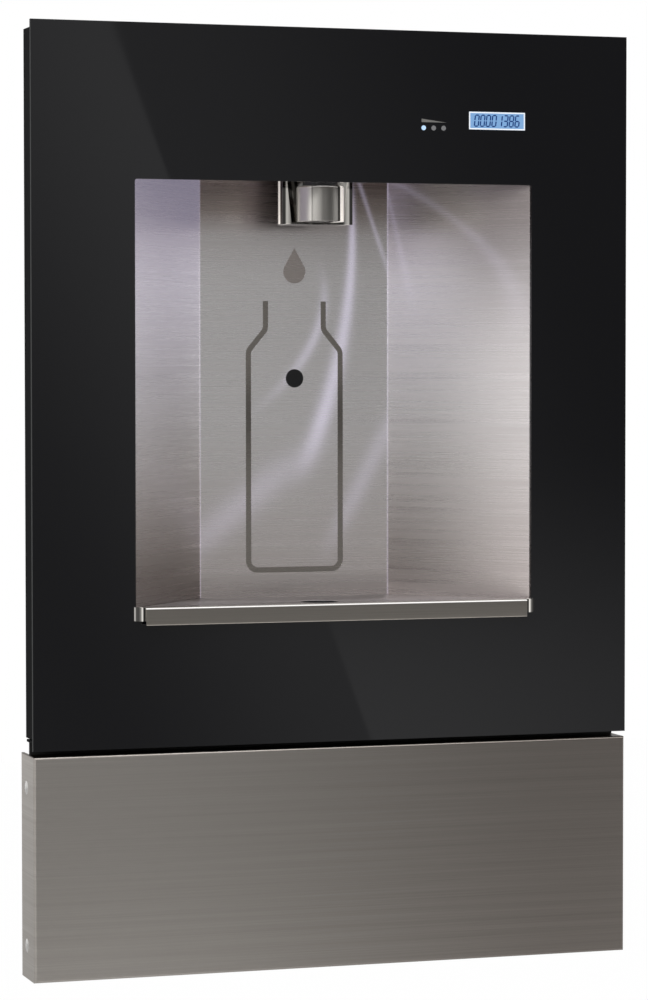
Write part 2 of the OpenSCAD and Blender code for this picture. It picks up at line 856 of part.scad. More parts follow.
// Nozzle: chrome body on a dark neck, with a straightener in its mouth
module nozzle_at(z) {
    translate([0, nozzle_y, z]) children();
}
module nozzle_body() color("gainsboro") nozzle_at(nozzle_low) rotate_extrude() difference() {
    r = nozzle_d / 2;
    union() {
        square([r, nozzle_len - nozzle_round]);
        square([r - nozzle_round, nozzle_len]);
        translate([r - nozzle_round, nozzle_len - nozzle_round]) circle(nozzle_round);
    }
    translate([-r, -over]) square([r, nozzle_len + 2 * over]);
    translate([0, -over]) square([neck_bore_r, nozzle_len + 2 * over]);
    translate([0, -over]) square([straight_r + fit, straight_h + straight_sink + over]);
    translate([0, nozzle_len - neck_in]) square([neck_r + fit, neck_in + over]);
    translate([neck_r, nozzle_len - neck_in / 2]) circle(seal_r);
}
module nozzle_seal() color("black") nozzle_at(nozzle_top - neck_in / 2)
    rotate_extrude() translate([neck_r, 0]) circle(seal_r - inlay_gap);
module nozzle_neck() color([0.12, 0.12, 0.13]) nozzle_at(0) rotate_extrude() difference() {
    base = nozzle_top - neck_in;
    union() {
        translate([0, base]) square([neck_r, neck_top - base]);
        translate([0, ceiling_z - sheet_t]) square([neck_r + seal_r * 2, sheet_t]);
    }
    translate([0, base - over]) square([neck_bore_r, neck_top - base + 2 * over]);
    translate([0, neck_top - neck_socket]) square([tube_d / 2 + inlay_gap, neck_socket + over]);
    translate([neck_r, nozzle_top - neck_in / 2]) circle(seal_r);
}
module neck_nut() color("black") nozzle_at(ceiling_z + sheet_t)
    hex_nut(neck_nut_r, neck_nut_h, neck_r + inlay_gap);
module flow_straightener() color("dimgray") nozzle_at(nozzle_low + straight_sink) difference() {
    cylinder(h = straight_h, r = straight_r);
    translate([0, 0, -over]) cylinder(h = straight_h + 2 * over, r = straight_hole_r);
    for (ring = [1 : straight_rings], i = [0 : 6 * ring - 1]) rotate(i * 60 / ring)
        translate([ring * straight_pitch, 0, -over]) cylinder(h = straight_h + 2 * over, r = straight_hole_r);
}

// Shroud: half drum behind the nozzle, cut flat in front, bored to a cone, closed by a plate
module nozzle_shroud() color("gainsboro") difference() {
    front = shroud_y - shroud_cut;
    translate([0, shroud_y, 0]) rotate_extrude() difference() {
        translate([0, shroud_low]) square([shroud_r, ceiling_z - shroud_low]);
        polygon([
            [0, shroud_low + shroud_plate_t], [shroud_bore_low, shroud_low + shroud_plate_t],
            [shroud_bore_top, ceiling_z + over], [0, ceiling_z + over]
        ]);
    }
    block([-shroud_r - over, shroud_r + over], [front - shroud_r - over, front],
        [shroud_low - over, ceiling_z + over]);
    nozzle_at(shroud_low - over) cylinder(h = shroud_plate_t + 2 * over, r = shroud_hole_r);
}

// Ceiling light: lens in the ceiling's slot, with its board on top
module light_lens() color("white") {
    block([slip - lens_w / 2, lens_w / 2 - slip], [lens_y + slip, lens_y + lens_d - slip],
        [ceiling_z - lens_t / 2, ceiling_z + sheet_t]);
    block([-lens_w / 2 - lens_lip, lens_w / 2 + lens_lip], [lens_y - lens_lip, lens_y + lens_d + lens_lip],
        [ceiling_z + sheet_t, ceiling_z + sheet_t + lens_t]);
}
module light_board() color("darkgreen") {
    top = ceiling_z + sheet_t + lens_t;
    mid = lens_y + lens_d / 2;
    block([-lens_w / 2, lens_w / 2], [lens_y, lens_y + lens_d], [top + board_t, top + 2 * board_t]);
    for (i = [0 : led_count - 1])
        translate([(i - (led_count - 1) / 2) * led_pitch - led_w / 2, mid - led_w / 2, top])
            cube([led_w, led_w, board_t + fit]);
}

// Counter display and status lenses, carried by one board on posts of the frame
module counter_display() color("lightsteelblue") {
    along_y([face_y + display_sink, board_y])
        translate([window_x, window_z]) square([window_w, window_h], center = true);
}
module status_lenses() color("lightgray") {
    for (i = [0 : 2]) translate([light_x + i * light_pitch, face_y + inlay_gap, light_z])
        rotate([-90, 0, 0]) cylinder(h = board_y - face_y - inlay_gap, r = light_d / 2);
}
module display_board() color("darkgreen") {
    block([board_x - board_half, board_x + board_half], [board_y, board_y + board_t],
        [window_z - board_h / 2, window_z + board_h / 2]);
    block([window_x - window_w / 3, window_x + window_w / 3],
        [board_y + board_t, board_y + board_t + board_gap],
        [window_z - window_h / 2, window_z + window_h / 2]);
}

// Tray: creased floor on a skirt, with a collar for the strainer
module tray_mass(inset, lowered, from_z) {
    ahead = tray_front_y + inset;
    deep = tray_back_y - inset;
    wide = opening_w / 2 - tray_gap - inset;
    knee_y = shell_y;
    top = rim_z + over;
    intersection() {
        along_z([from_z, top]) polygon([
            [-wide, ahead], [wide, ahead], [half_at(knee_y) - tray_gap - inset, knee_y],
            [half_at(deep) - tray_gap - inset, deep], [inset + tray_gap - half_at(deep), deep],
            [inset + tray_gap - half_at(knee_y), knee_y]
        ]);
        along_y([ahead - over, deep + over]) polygon([
            [-opening_w / 2, from_z], [-opening_w / 2, rim_z - lowered], [-crease_half, crease_z - lowered],
            [crease_half, crease_z - lowered], [opening_w / 2, rim_z - lowered], [opening_w / 2, from_z]
        ]);
    }
}
module drip_tray() color("lightgray") {
    r = drain_d / 2;
    difference() {
        tray_mass(0, 0, skirt_z);
        tray_mass(tray_t, tray_t, skirt_z - over);
        translate([0, drain_y, skirt_z - over]) cylinder(h = rim_z - skirt_z + 2 * over, r = r);
    }
    translate([0, drain_y, collar_low]) difference() {
        h = crease_z - tray_t / 2 - collar_low;
        cylinder(h = h, r = r + collar_t);
        translate([0, 0, tray_t]) cylinder(h = h, r = r);
        translate([0, 0, -over]) cylinder(h = h, r = r - ledge_w);
    }
}
module drain_strainer() color("black") translate([0, drain_y, collar_low + tray_t + inlay_gap])
    difference() {
        r = drain_d / 2 - fit;
        h = crease_z - collar_low - tray_t - slip;
        cylinder(h = h, r = r);
        translate([0, 0, strainer_t]) cylinder(h = h, r = r - strainer_t);
        translate([0, 0, -over]) cylinder(h = h, r = strainer_hole_r);
        for (ring = [1 : 2], i = [0 : 6 * ring - 1]) rotate(i * 60 / ring)
            translate([ring * strainer_pitch, 0, -over]) cylinder(h = h, r = strainer_hole_r);
    }

// Polished lip: a cap over the glass edge with rounded ends
module lip_plan(inset) {
    x = lip_w / 2 - inset;
    ahead = face_y - slip - lip_d + inset;
    difference() {
        round_rect([-x, x], [ahead, ahead + 2 * lip_d], lip_end_r - inset);
        translate([-lip_w, face_y - slip]) square([2 * lip_w, 2 * lip_d]);
    }
}
module tray_lip() color("gainsboro") {
    wide = opening_w / 2 - tray_gap;
    difference() {
        along_z([lip_low, lip_high]) lip_plan(0);
        along_z([lip_low - over, lip_high - lip_t]) lip_plan(lip_t);
        block([lip_t - lip_w / 2, lip_w / 2 - lip_t], [face_y - slip - over, face_y],
            [lip_low - over, lip_high - lip_t]);
    }
    block([-wide, wide], [face_y - slip - over, face_y + lip_leg], [lip_high - lip_t, lip_high]);
}
module tray_bar() color("silver") {
    back = face_y - slip - lip_d;
    along_x([-bar_w / 2, bar_w / 2])
        round_rect([back - bar_t, back], [bar_low, bar_high], bar_hem_r);
}

// Drain: flanged cup with a funnel, clamped by a nut, and a bent pipe in a slip joint
module drain_at(z) {
    translate([0, drain_y, z]) children();
}
module drain_cup() color("darkgray") drain_at(0) rotate_extrude() polygon([
    [cup_r, cup_top - cup_len], [cup_r, cup_top - cup_flange_t],
    [cup_r + cup_flange_w, cup_top - cup_flange_t], [cup_r + cup_flange_w, cup_top],
    [cup_bore_top, cup_top], [cup_bore_top, cup_funnel_z], [cup_throat_r, cup_throat_z],
    [cup_throat_r, cup_socket_z], [pipe_r + fit, cup_socket_z], [pipe_r + fit, cup_top - cup_len]
]);
module drain_gasket() color("black") drain_at(floor_z - dish_d - sheet_t - gasket_t) difference() {
    cylinder(h = gasket_t, r = cup_r + drain_nut_w);
    translate([0, 0, -over]) cylinder(h = gasket_t + 2 * over, r = cup_r + inlay_gap);
}
module drain_nut() color("darkgray")
    drain_at(floor_z - dish_d - sheet_t - gasket_t - drain_nut_h) difference() {
        union() {
            cylinder(h = drain_nut_h, r = cup_r + drain_nut_w / 2);
            for (i = [0 : 5]) rotate(i * 60) translate([cup_r + drain_nut_w / 4, -drain_nut_w / 4, 0])
                cube([drain_nut_w * 3 / 4, drain_nut_w / 2, drain_nut_h]);
        }
        translate([0, 0, -over]) cylinder(h = drain_nut_h + 2 * over, r = cup_r + inlay_gap);
    }
module slip_nut() color("darkgray") drain_at(cup_top - cup_len + fit)
    hex_nut(cup_r + slip_nut_w, slip_nut_h, cup_r + inlay_gap);
module drain_pipe() color("gainsboro") {
    bore = outlet_d / 2 - pipe_wall;
    tube([
        [0, drain_y, cup_socket_z - fit], [0, drain_y, pipe_turn_z], [0, pipe_y, pipe_turn_z],
        [0, pipe_y, outlet_top]
    ], pipe_bend_r, pipe_r, bore);
    translate([0, pipe_y, outlet_top - outlet_len]) difference() {
        cylinder(h = outlet_len, r = outlet_d / 2);
        translate([0, 0, -over]) cylinder(h = outlet_len + 2 * over, r = bore);
    }
}
module pipe_grommet() color("black") translate([0, pipe_y, box_floor_z - box_t - grommet_t])
    rotate_extrude() difference() {
        translate([pipe_r + inlay_gap, 0]) square([2 * grommet_w, 2 * grommet_t + box_t]);
        translate([pipe_r + grommet_w - slip - fit, grommet_t]) square([2 * grommet_w, box_t]);
    }

// Lower panel: one folded sheet, open at the back
module panel_mass(inset, back) {
    x = panel_half - inset;
    ahead = face_y + inset;
    r = panel_bend_r - inset;
    intersection() {
        along_x([-x, x]) difference() {
            round_rect([ahead, back + 2 * r], [low + inset, panel_top - inset], r);
            translate([back, low - over]) square([front_d, panel_h + 2 * over]);
        }
        along_z([low - over, panel_top + over]) difference() {
            round_rect([-x, x], [ahead, back + 2 * r], r);
            translate([-front_w, back]) square([2 * front_w, front_d]);
        }
    }
}
module side_screw_places() {
    for (s = [-1, 1], z = [side_screw_low, side_screw_high])
        translate([s * panel_half, side_screw_y, z]) rotate([0, s * 90, 0]) children();
}
module lower_panel() color("darkgray") difference() {
    panel_mass(0, panel_back_y);
    panel_mass(panel_t, panel_back_y + over);
    block([panel_bend_r - panel_half, panel_half - panel_bend_r], [face_y + top_return_d, over],
        [panel_top - panel_bend_r, panel_top + over]);
    side_screw_places() translate([0, 0, -panel_t - over])
        cylinder(h = panel_t + 2 * over, r = side_screw_r + side_screw_gap);
}
module panel_screws() color("gainsboro") side_screw_places() {
    translate([0, 0, -side_screw_len]) cylinder(h = side_screw_len, r = side_screw_r);
    rotate_extrude() difference() {
        translate([0, side_head_h - side_head_r * 3]) circle(side_head_r * 3, $fn = 96);
        translate([-side_head_r * 4, -side_head_r * 6]) square([side_head_r * 4, side_head_r * 8]);
        translate([0, -side_head_r * 6]) square([side_head_r * 4, side_head_r * 6]);
    }
}
module panel_nuts() color("silver") side_screw_places()
    translate([0, 0, -panel_t - leg_t - 2 * slip - side_nut_t]) difference() {
        translate([-side_nut_w / 2, -side_nut_w / 2, 0]) cube([side_nut_w, side_nut_w, side_nut_t]);
        translate([0, 0, -over]) cylinder(h = side_nut_t + 2 * over, r = side_screw_r + inlay_gap);
    }

// Brackets on the flange, slotted to the front so that the panel pulls off its loosened screws
module panel_bracket() {
    difference() {
        union() {
            block([leg_out - leg_t, leg_out], [leg_front_y, box_front_y], [leg_low, leg_high]);
            block([foot_in, leg_out], [box_front_y - bracket_t, box_front_y], [leg_low, leg_high]);
        }
        for (z = [side_screw_low, side_screw_high]) {
            translate([leg_out - leg_t - over, side_screw_y, z]) rotate([0, 90, 0])
                cylinder(h = leg_t + 2 * over, r = side_screw_r + side_screw_gap);
            block([leg_out - leg_t - over, leg_out + over], [leg_front_y - over, side_screw_y],
                [z - side_screw_r - side_screw_gap, z + side_screw_r + side_screw_gap]);
        }
        screw_holes(screw_r + fit);
    }
}
module panel_brackets() color("silver") {
    panel_bracket();
    mirror([1, 0, 0]) panel_bracket();
}

// Filter: head with bayonet ledges, quarter-turn cartridge, seals and bracket
module filter_at() {
    translate([0, filter_y, filter_z]) rotate([0, 90, 0]) children();
}
module sector(r, from, angle) {
    steps = 12;
    polygon([[0, 0], for (i = [0 : steps]) r * [cos(from + angle * i / steps), sin(from + angle * i / steps)]]);
}
module filter_head() color("whitesmoke") {
    skirt_bore = head_r - head_wall;
    difference() {
        union() {
            filter_at() translate([0, 0, head_x]) rotate_extrude() {
                square([head_r, head_cap]);
                translate([spigot_r + fit, 0]) square([spigot_wall, head_cap + spigot_len]);
                translate([skirt_bore, 0]) square([head_wall, head_len]);
            }
            filter_at() translate([0, 0, head_x + head_len - ledge_t]) linear_extrude(ledge_t) difference() {
                circle(skirt_bore + fit);
                circle(collar_r + slip);
                for (a = [0, 180]) sector(2 * head_r, a + 90 - ledge_gap / 2, ledge_gap);
            }
            for (s = [-1, 1]) translate([port_x, filter_y + s * port_y, filter_z + head_r - head_wall])
                cylinder(h = head_wall + port_h, r = port_r);
        }
        for (s = [-1, 1]) translate([port_x, filter_y + s * port_y, filter_z + head_r + port_h - port_sink])
            cylinder(h = port_sink + over, r = tube_d / 2 + inlay_gap);
    }
}
module filter_cartridge() color("white") {
    body_r = cartridge_d / 2;
    start = cartridge_x;
    neck_end = head_x + head_cap + spigot_len + slip;
    filter_at() {
        translate([0, 0, start]) rotate_extrude() {
            translate([0, cartridge_round]) square([body_r, cartridge_len - 2 * cartridge_round]);
            square([body_r - cartridge_round, cartridge_len]);
            for (z = [cartridge_round, cartridge_len - cartridge_round]) intersection() {
                translate([body_r - cartridge_round, z]) circle(cartridge_round);
                translate([0, -over]) square([body_r + over, cartridge_len + 2 * over]);
            }
        }
        translate([0, 0, neck_end]) cylinder(h = start - neck_end + over, r = collar_r);
        translate([0, 0, head_x + head_cap + slip]) difference() {
            cylinder(h = spigot_len + over, r = spigot_r);
            for (i = [1, 2]) translate([0, 0, i * spigot_len / 3]) rotate_extrude()
                translate([ring_seat_r, 0]) circle(ring_r);
        }
        translate([0, 0, head_x + head_len - ledge_t - slip - lug_t]) linear_extrude(lug_t)
            for (a = [0, 180]) intersection() {
                sector(2 * head_r, a - lug_angle / 2, lug_angle);
                circle(collar_r + lug_grow);
            }
        translate([-body_r * 0.7, -grip_w / 2, start + cartridge_len - over])
            cube([body_r * 1.4, grip_w, grip_h + over]);
    }
}
module filter_seals() color("black") filter_at() for (i = [1, 2])
    translate([0, 0, head_x + head_cap + slip + i * spigot_len / 3]) rotate_extrude()
        translate([ring_seat_r, 0]) circle(ring_r - inlay_gap);
module filter_bracket() color("silver") {
    high_z = filter_z + head_r;
    front = filter_y - head_r * 0.9;
    foot_front = box_t;
    difference() {
        union() {
            block([head_x - bracket_t, head_x], [front, foot_front + 2 * bracket_foot], [box_floor_z, high_z]);
            block([head_x - bracket_foot, head_x], [foot_front, foot_front + 2 * bracket_foot],
                [box_floor_z, box_floor_z + bracket_t]);
        }
        block([head_x - bracket_t - over, head_x + over], [front - over, foot_front],
            [box_floor_z - over, box_floor_z + bracket_foot]);
    }
}

// Water: inlet, tubes and valve
module inlet_fitting() color("gainsboro") translate([inlet_x, inlet_y, box_floor_z - box_t]) {
    bore = tube_d / 2 - tube_wall;
    rotate_extrude() {
        translate([bore, -inlet_flange_t - inlet_stub]) square([tube_wall, inlet_stub + over]);
        translate([bore, -inlet_flange_t]) square([inlet_flange_r - bore, inlet_flange_t]);
        translate([bore, -over]) square([inlet_body_r - bore, inlet_body_h - port_sink + over]);
        translate([tube_d / 2 + inlay_gap, -over])
            square([inlet_body_r - tube_d / 2 - inlay_gap, inlet_body_h + over]);
    }
}
module inlet_nut() color("gray") translate([inlet_x, inlet_y, box_floor_z])
    hex_nut(inlet_nut_r, inlet_nut_h, inlet_body_r + inlay_gap);
module water_tube(path) {
    tube(path, tube_bend_r, tube_d / 2, tube_d / 2 - tube_wall);
}
port_top = filter_z + head_r + port_h - port_sink;
inlet_top = box_floor_z - box_t + inlet_body_h - port_sink;
loop_z = port_top + 2.5 * tube_bend_r;
module inlet_tube() color("whitesmoke") water_tube([
    [inlet_x, inlet_y, inlet_top], [inlet_x, inlet_y, loop_z], [port_x, inlet_y, loop_z],
    [port_x, filter_y + port_y, loop_z], [port_x, filter_y + port_y, port_top]
]);
module filtered_tube() color("whitesmoke") water_tube([
    [port_x, filter_y - port_y, port_top], [port_x, filter_y - port_y, valve_z],
    [port_x, valve_y, valve_z], [valve_x - valve_w / 2 - valve_port_len + port_sink, valve_y, valve_z]
]);
tube_side_x = valve_x + valve_w / 2 + valve_port_len + 2 * tube_bend_r;
tube_high_z = neck_top - neck_socket + 2 * tube_bend_r;
module nozzle_tube() color("whitesmoke") water_tube([
    [valve_x + valve_w / 2 + valve_port_len - port_sink, valve_y, valve_z], [tube_side_x, valve_y, valve_z],
    [tube_side_x, valve_y, tube_high_z], [0, valve_y, tube_high_z], [0, nozzle_y, tube_high_z],
    [0, nozzle_y, neck_top - neck_socket]
]);

// Valve: body with a guide, coil on the guide, sprung plunger inside it
module valve_at() {
    translate([valve_x, valve_y, valve_z]) children();
}
guide_low = valve_side / 2 - seat_h;
module valve_body() color("goldenrod") valve_at() difference() {
    union() {
        block([-valve_w / 2, valve_w / 2], [-valve_side / 2, valve_side / 2], [-valve_side / 2, valve_side / 2]);
        translate([-valve_w / 2 - valve_port_len, 0, 0]) rotate([0, 90, 0])
            cylinder(h = valve_w + 2 * valve_port_len, r = port_r);
        translate([0, 0, valve_side / 2 - over]) cylinder(h = guide_h + over, r = guide_bore_r + guide_wall);
    }
    for (s = [-1, 1]) translate([s * (valve_w / 2 + valve_port_len), 0, 0]) rotate([0, -s * 90, 0])
        translate([0, 0, -over]) cylinder(h = port_sink + over, r = tube_d / 2 + inlay_gap);
    translate([0, 0, guide_low]) cylinder(h = seat_h + guide_h - guide_wall, r = guide_bore_r);
    translate([-valve_w / 2 - valve_port_len, 0, 0]) rotate([0, 90, 0])
        cylinder(h = valve_w / 2 + valve_port_len - feed_set + feed_r / 2, r = passage_r);
    rotate([0, 90, 0]) cylinder(h = valve_w / 2 + valve_port_len, r = passage_r);
    translate([-feed_set, 0, 0]) cylinder(h = guide_low + over, r = feed_r);
    cylinder(h = guide_low + over, r = seat_r);
}
module valve_coil() color([0.1, 0.1, 0.12]) valve_at() translate([0, 0, valve_side / 2 + fit])
    difference() {
        union() {
            cylinder(h = coil_h, r = coil_r);
            block([-coil_r * 0.7, coil_r * 0.7], [0, coil_r + board_gap], [coil_h / 4, coil_h * 3 / 4]);
        }
        translate([0, 0, -over]) cylinder(h = coil_h + 2 * over, r = guide_bore_r + guide_wall + fit);
    }
module valve_plunger() color("silver") valve_at() translate([0, 0, guide_low + seat_gap]) difference() {
    cylinder(h = plunger_len, r = plunger_r);
    translate([0, 0, plunger_len - lift]) cylinder(h = lift + over, r = spring_r + spring_wire);
}

// Spring between the plunger and the guide's closed end
function swept_faces(rings, sides) = concat(
    [[for (k = [0 : sides - 1]) sides - 1 - k]],
    [for (i = [0 : rings - 2], k = [0 : sides - 1]) [
        i * sides + k, i * sides + (k + 1) % sides, (i + 1) * sides + (k + 1) % sides, (i + 1) * sides + k
    ]],
    [[for (k = [0 : sides - 1]) (rings - 1) * sides + k]]
);
module valve_spring() color("silver") {
    rings_a_turn = 12;
    sides = 6;
    foot = guide_low + seat_gap + plunger_len - lift + fit + spring_wire / 2;
    room = guide_low + seat_h + guide_h - guide_wall - foot - fit - spring_wire / 2;
    rings = spring_turns * rings_a_turn + 1;
    r = spring_r;
    points = [for (i = [0 : rings - 1], k = [0 : sides - 1])
        let (a = 360 * i / rings_a_turn, b = -360 * k / sides, across = r + spring_wire / 2 * cos(b))
        [across * cos(a), across * sin(a), foot + room * i / (rings - 1) + spring_wire / 2 * sin(b)]];
    valve_at() polyhedron(points, swept_faces(rings, sides), convexity = 10);
}
module valve_bracket() color("silver") valve_at() {
    top = -valve_side / 2;
    wide = valve_w / 2;
    block([-wide, wide], [-valve_side / 2, box_back_y - valve_y], [top - bracket_t, top]);
    block([-wide, wide], [box_back_y - valve_y - bracket_t, box_back_y - valve_y],
        [top - bracket_t, top + valve_side]);
}

// Electrics
module control_cover() color("whitesmoke") difference() {
    block(control_x, [control_y[0], box_back_y], control_z);
    block([control_x[0] + cover_t, control_x[1] - cover_t], [control_y[0] + cover_t, box_back_y + over],
        [control_z[0] + cover_t, control_z[1] - cover_t]);
    for (z = [control_z[0] : (control_z[1] - control_z[0]) / 8 : control_z[1] - 1])
        block([control_x[1] - cover_t - over, control_x[1] + over],
            [control_y[0] + 3 * cover_t, control_y[1] - 3 * cover_t], [z + 3 * cover_t, z + 4.5 * cover_t]);
}
module control_board() color("darkgreen") {
    back = box_back_y - board_gap;
    block([control_x[0] + 2 * cover_t, control_x[1] - 2 * cover_t], [back - board_t, back],
        [control_z[0] + 2 * cover_t, control_z[1] - 2 * cover_t]);
    for (x = [control_x[0] + 5 * cover_t, control_x[1] - 5 * cover_t],
         z = [control_z[0] + 5 * cover_t, control_z[1] - 5 * cover_t])
        translate([x, back - fit, z]) rotate([-90, 0, 0]) cylinder(h = board_gap + fit, r = board_post_r);
    mid = (control_x[0] + control_x[1]) / 2;
    for (i = [0 : 3]) translate([mid, back - board_t + fit, control_z[0] + (i + 1) * control_h / 5])
        rotate([90, 0, 0]) cylinder(h = board_gap * (i % 2 + 1), r = board_edge);
}
module supply_unit() color("dimgray") {
    block(supply_x, [supply_y[0] + fin_h, supply_y[1]], supply_z);
    pitch = (supply_x[1] - supply_x[0] - fin_w) / (fin_count - 1);
    for (i = [0 : fin_count - 1])
        block([supply_x[0] + i * pitch, supply_x[0] + i * pitch + fin_w],
            [supply_y[0], supply_y[0] + fin_h + over], supply_z);
    for (z = supply_z) block([supply_x[0] + fin_w, supply_x[1] - fin_w], [supply_y[1] - over, box_back_y],
        z > supply_z[0] ? [z - 4 * fin_w, z] : [z, z + 4 * fin_w]);
}
module cable_bushing() color("black") translate([bushing_x, bushing_y, box_floor_z - box_t - grommet_t])
    rotate_extrude() difference() {
        translate([lead_r * 3, 0]) square([bushing_r - lead_r * 3 + grommet_t, 2 * grommet_t + box_t]);
        translate([bushing_r - fit, grommet_t]) square([2 * grommet_t, box_t]);
    }
module lead(path) {
    tube(path, lead_bend_r, lead_r, 0);
}
module inner_leads() color("black") {
    gap_y = (back_y + sheet_t + module_y + module_d) / 2;
    behind_y = box_back_y - 3 * lead_r;
    coil_z = valve_z + valve_side / 2 + coil_h / 2;
    coil_y = valve_y + coil_r + board_gap;
    step = 2 * lead_bend_r + lead_r;
    under_z = supply_z[0] - step;
    supply_mid_x = (supply_x[0] + supply_x[1]) / 2;
    supply_mid_y = (supply_y[0] + supply_y[1]) / 2;
    control_mid = (control_x[0] + control_x[1]) / 2;
    over_z = tube_high_z + step;
    light_z0 = ceiling_z + sheet_t + lens_t + 2 * board_t;
    lead([
        [control_x[1], behind_y, sensor_z], [-module_w, behind_y, sensor_z],
        [-module_w, gap_y, sensor_z], [-module_w / 2, gap_y, sensor_z]
    ]);
    link_z = floor_z + unit_rise + step;
    lead([[control_x[1], behind_y, link_z], [supply_x[0], behind_y, link_z]]);
    lead([
        [valve_x, coil_y, coil_z], [valve_x, supply_mid_y, coil_z], [valve_x, supply_mid_y, under_z],
        [supply_mid_x, supply_mid_y, under_z], [supply_mid_x, supply_mid_y, supply_z[0]]
    ]);
    lead([
        [window_x, board_y + board_t + board_gap, window_z], [window_x, board_y + step, window_z],
        [window_x, board_y + step, over_z], [control_mid, board_y + step, over_z],
        [control_mid, behind_y, over_z], [control_mid, behind_y, control_z[1]]
    ]);
    lead([
        [board_x - board_half + step, board_y + board_t + step / 2, light_z0],
        [board_x - board_half + step, board_y + board_t + step / 2, light_z0 + step],
        [board_x - board_half + step, board_y + board_t, light_z0 + step]
    ]);
}

wall_box();
wall_flange();
hanger_rail();
backing_frame();
foot_plate();
glass_tape();
glass_panel();
alcove_shell();
alcove_ceiling();
alcove_floor();
alcove_nuts();
bottle_outline();
water_drop();
sensor_window();
sensor_module();
nozzle_body();
nozzle_neck();
nozzle_seal();
neck_nut();
flow_straightener();
nozzle_shroud();
light_lens();
light_board();
counter_display();
display_board();
status_lenses();
drip_tray();
tray_lip();
tray_bar();
drain_strainer();
drain_cup();
drain_gasket();
drain_nut();
slip_nut();
drain_pipe();
pipe_grommet();
lower_panel();
panel_screws();
panel_nuts();
panel_brackets();
mounting_screws();
filter_head();
filter_cartridge();
filter_seals();
filter_bracket();
valve_body();
valve_coil();
valve_plunger();
valve_spring();
valve_bracket();
inlet_fitting();
inlet_nut();
inlet_tube();
filtered_tube();
nozzle_tube();
control_board();
control_cover();
supply_unit();
cable_bushing();
inner_leads();
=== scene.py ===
import bpy
import bmesh
import math
from functools import partial
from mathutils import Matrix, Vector


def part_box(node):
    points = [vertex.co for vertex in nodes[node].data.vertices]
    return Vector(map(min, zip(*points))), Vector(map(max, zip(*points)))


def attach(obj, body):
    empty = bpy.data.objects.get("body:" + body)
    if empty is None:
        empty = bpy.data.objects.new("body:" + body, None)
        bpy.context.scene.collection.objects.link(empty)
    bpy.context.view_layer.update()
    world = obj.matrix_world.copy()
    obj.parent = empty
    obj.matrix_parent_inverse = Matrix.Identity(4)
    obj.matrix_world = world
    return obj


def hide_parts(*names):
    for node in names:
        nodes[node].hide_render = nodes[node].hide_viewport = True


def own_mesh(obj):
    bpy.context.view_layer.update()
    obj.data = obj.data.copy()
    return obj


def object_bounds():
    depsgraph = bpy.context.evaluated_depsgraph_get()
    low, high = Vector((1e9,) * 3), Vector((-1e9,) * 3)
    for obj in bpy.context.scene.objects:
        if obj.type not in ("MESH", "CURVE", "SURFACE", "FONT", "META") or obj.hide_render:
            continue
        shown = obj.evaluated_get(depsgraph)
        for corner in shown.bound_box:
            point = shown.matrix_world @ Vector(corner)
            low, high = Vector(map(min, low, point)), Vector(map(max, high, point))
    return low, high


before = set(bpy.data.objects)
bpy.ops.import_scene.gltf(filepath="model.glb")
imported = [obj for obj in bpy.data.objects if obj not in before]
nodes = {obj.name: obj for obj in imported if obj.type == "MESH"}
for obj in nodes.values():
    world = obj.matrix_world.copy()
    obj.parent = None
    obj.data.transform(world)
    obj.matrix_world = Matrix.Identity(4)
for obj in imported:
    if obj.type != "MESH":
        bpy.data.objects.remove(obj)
cad_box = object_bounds()
scene = bpy.context.scene
scene.view_settings.view_transform = "Standard"

# Camera, as the photograph was taken: from the left, a little above the middle, with a long lens.
# Its place, angles and focal length were solved from corner points of the photo.
eye = Vector((-0.76304, -2.34382, 0.09330))
turn, tip, roll = math.radians(18.086), math.radians(2.202), math.radians(0.034)
level = math.radians(90)
focal_share = 3.4496
sensor_mm = 36
nearest = 0.01

camera_data = bpy.data.cameras.new("camera")
camera_data.sensor_width = sensor_mm
camera_data.lens = focal_share * camera_data.sensor_width
camera_data.clip_start = nearest
camera = bpy.data.objects.new("camera", camera_data)
camera.location = eye
camera.rotation_euler = (level - tip, roll, -turn)
scene.collection.objects.link(camera)
scene.camera = camera

# Studio: white surroundings, a pale floor well below the station, two soft lamps in front, and a
# large dark flag in front to the right, whose slanted edge the black glass mirrors. The small
# helpers here join the nodes of every finish below.
def feed(tree, socket, value):
    """Gives a socket a number, a vector or a colour, or links another node's output to it."""
    if isinstance(value, bpy.types.NodeSocket):
        tree.links.new(value, socket)
    else:
        socket.default_value = (*value, 1) if socket.type == "RGBA" else value


def add_step(tree, kind, feeds, **options):
    """Adds a node, sets its options, feeds its sockets and returns its outputs."""
    step = tree.nodes.new(kind)
    for option, choice in options.items():
        setattr(step, option, choice)
    for socket, value in feeds.items():
        feed(tree, step.inputs[socket], value)
    return step.outputs


def math_step(tree, kind, *values):
    return add_step(tree, "ShaderNodeMath", dict(enumerate(values)), operation=kind)[0]


def ramp_step(tree, value, low, high, to_low=0.0, to_high=1.0, kind="SMOOTHSTEP"):
    """Runs from to_low where value is low to to_high where it is high, and stays flat beyond."""
    feeds = {"Value": value, "From Min": low, "From Max": high, "To Min": to_low, "To Max": to_high}
    return add_step(tree, "ShaderNodeMapRange", feeds, interpolation_type=kind)["Result"]


def place_of(tree):
    """The shaded point's place in its object's frame."""
    return add_step(tree, "ShaderNodeTexCoord", {})["Object"]


def axes_of(tree):
    return add_step(tree, "ShaderNodeSeparateXYZ", {0: place_of(tree)})


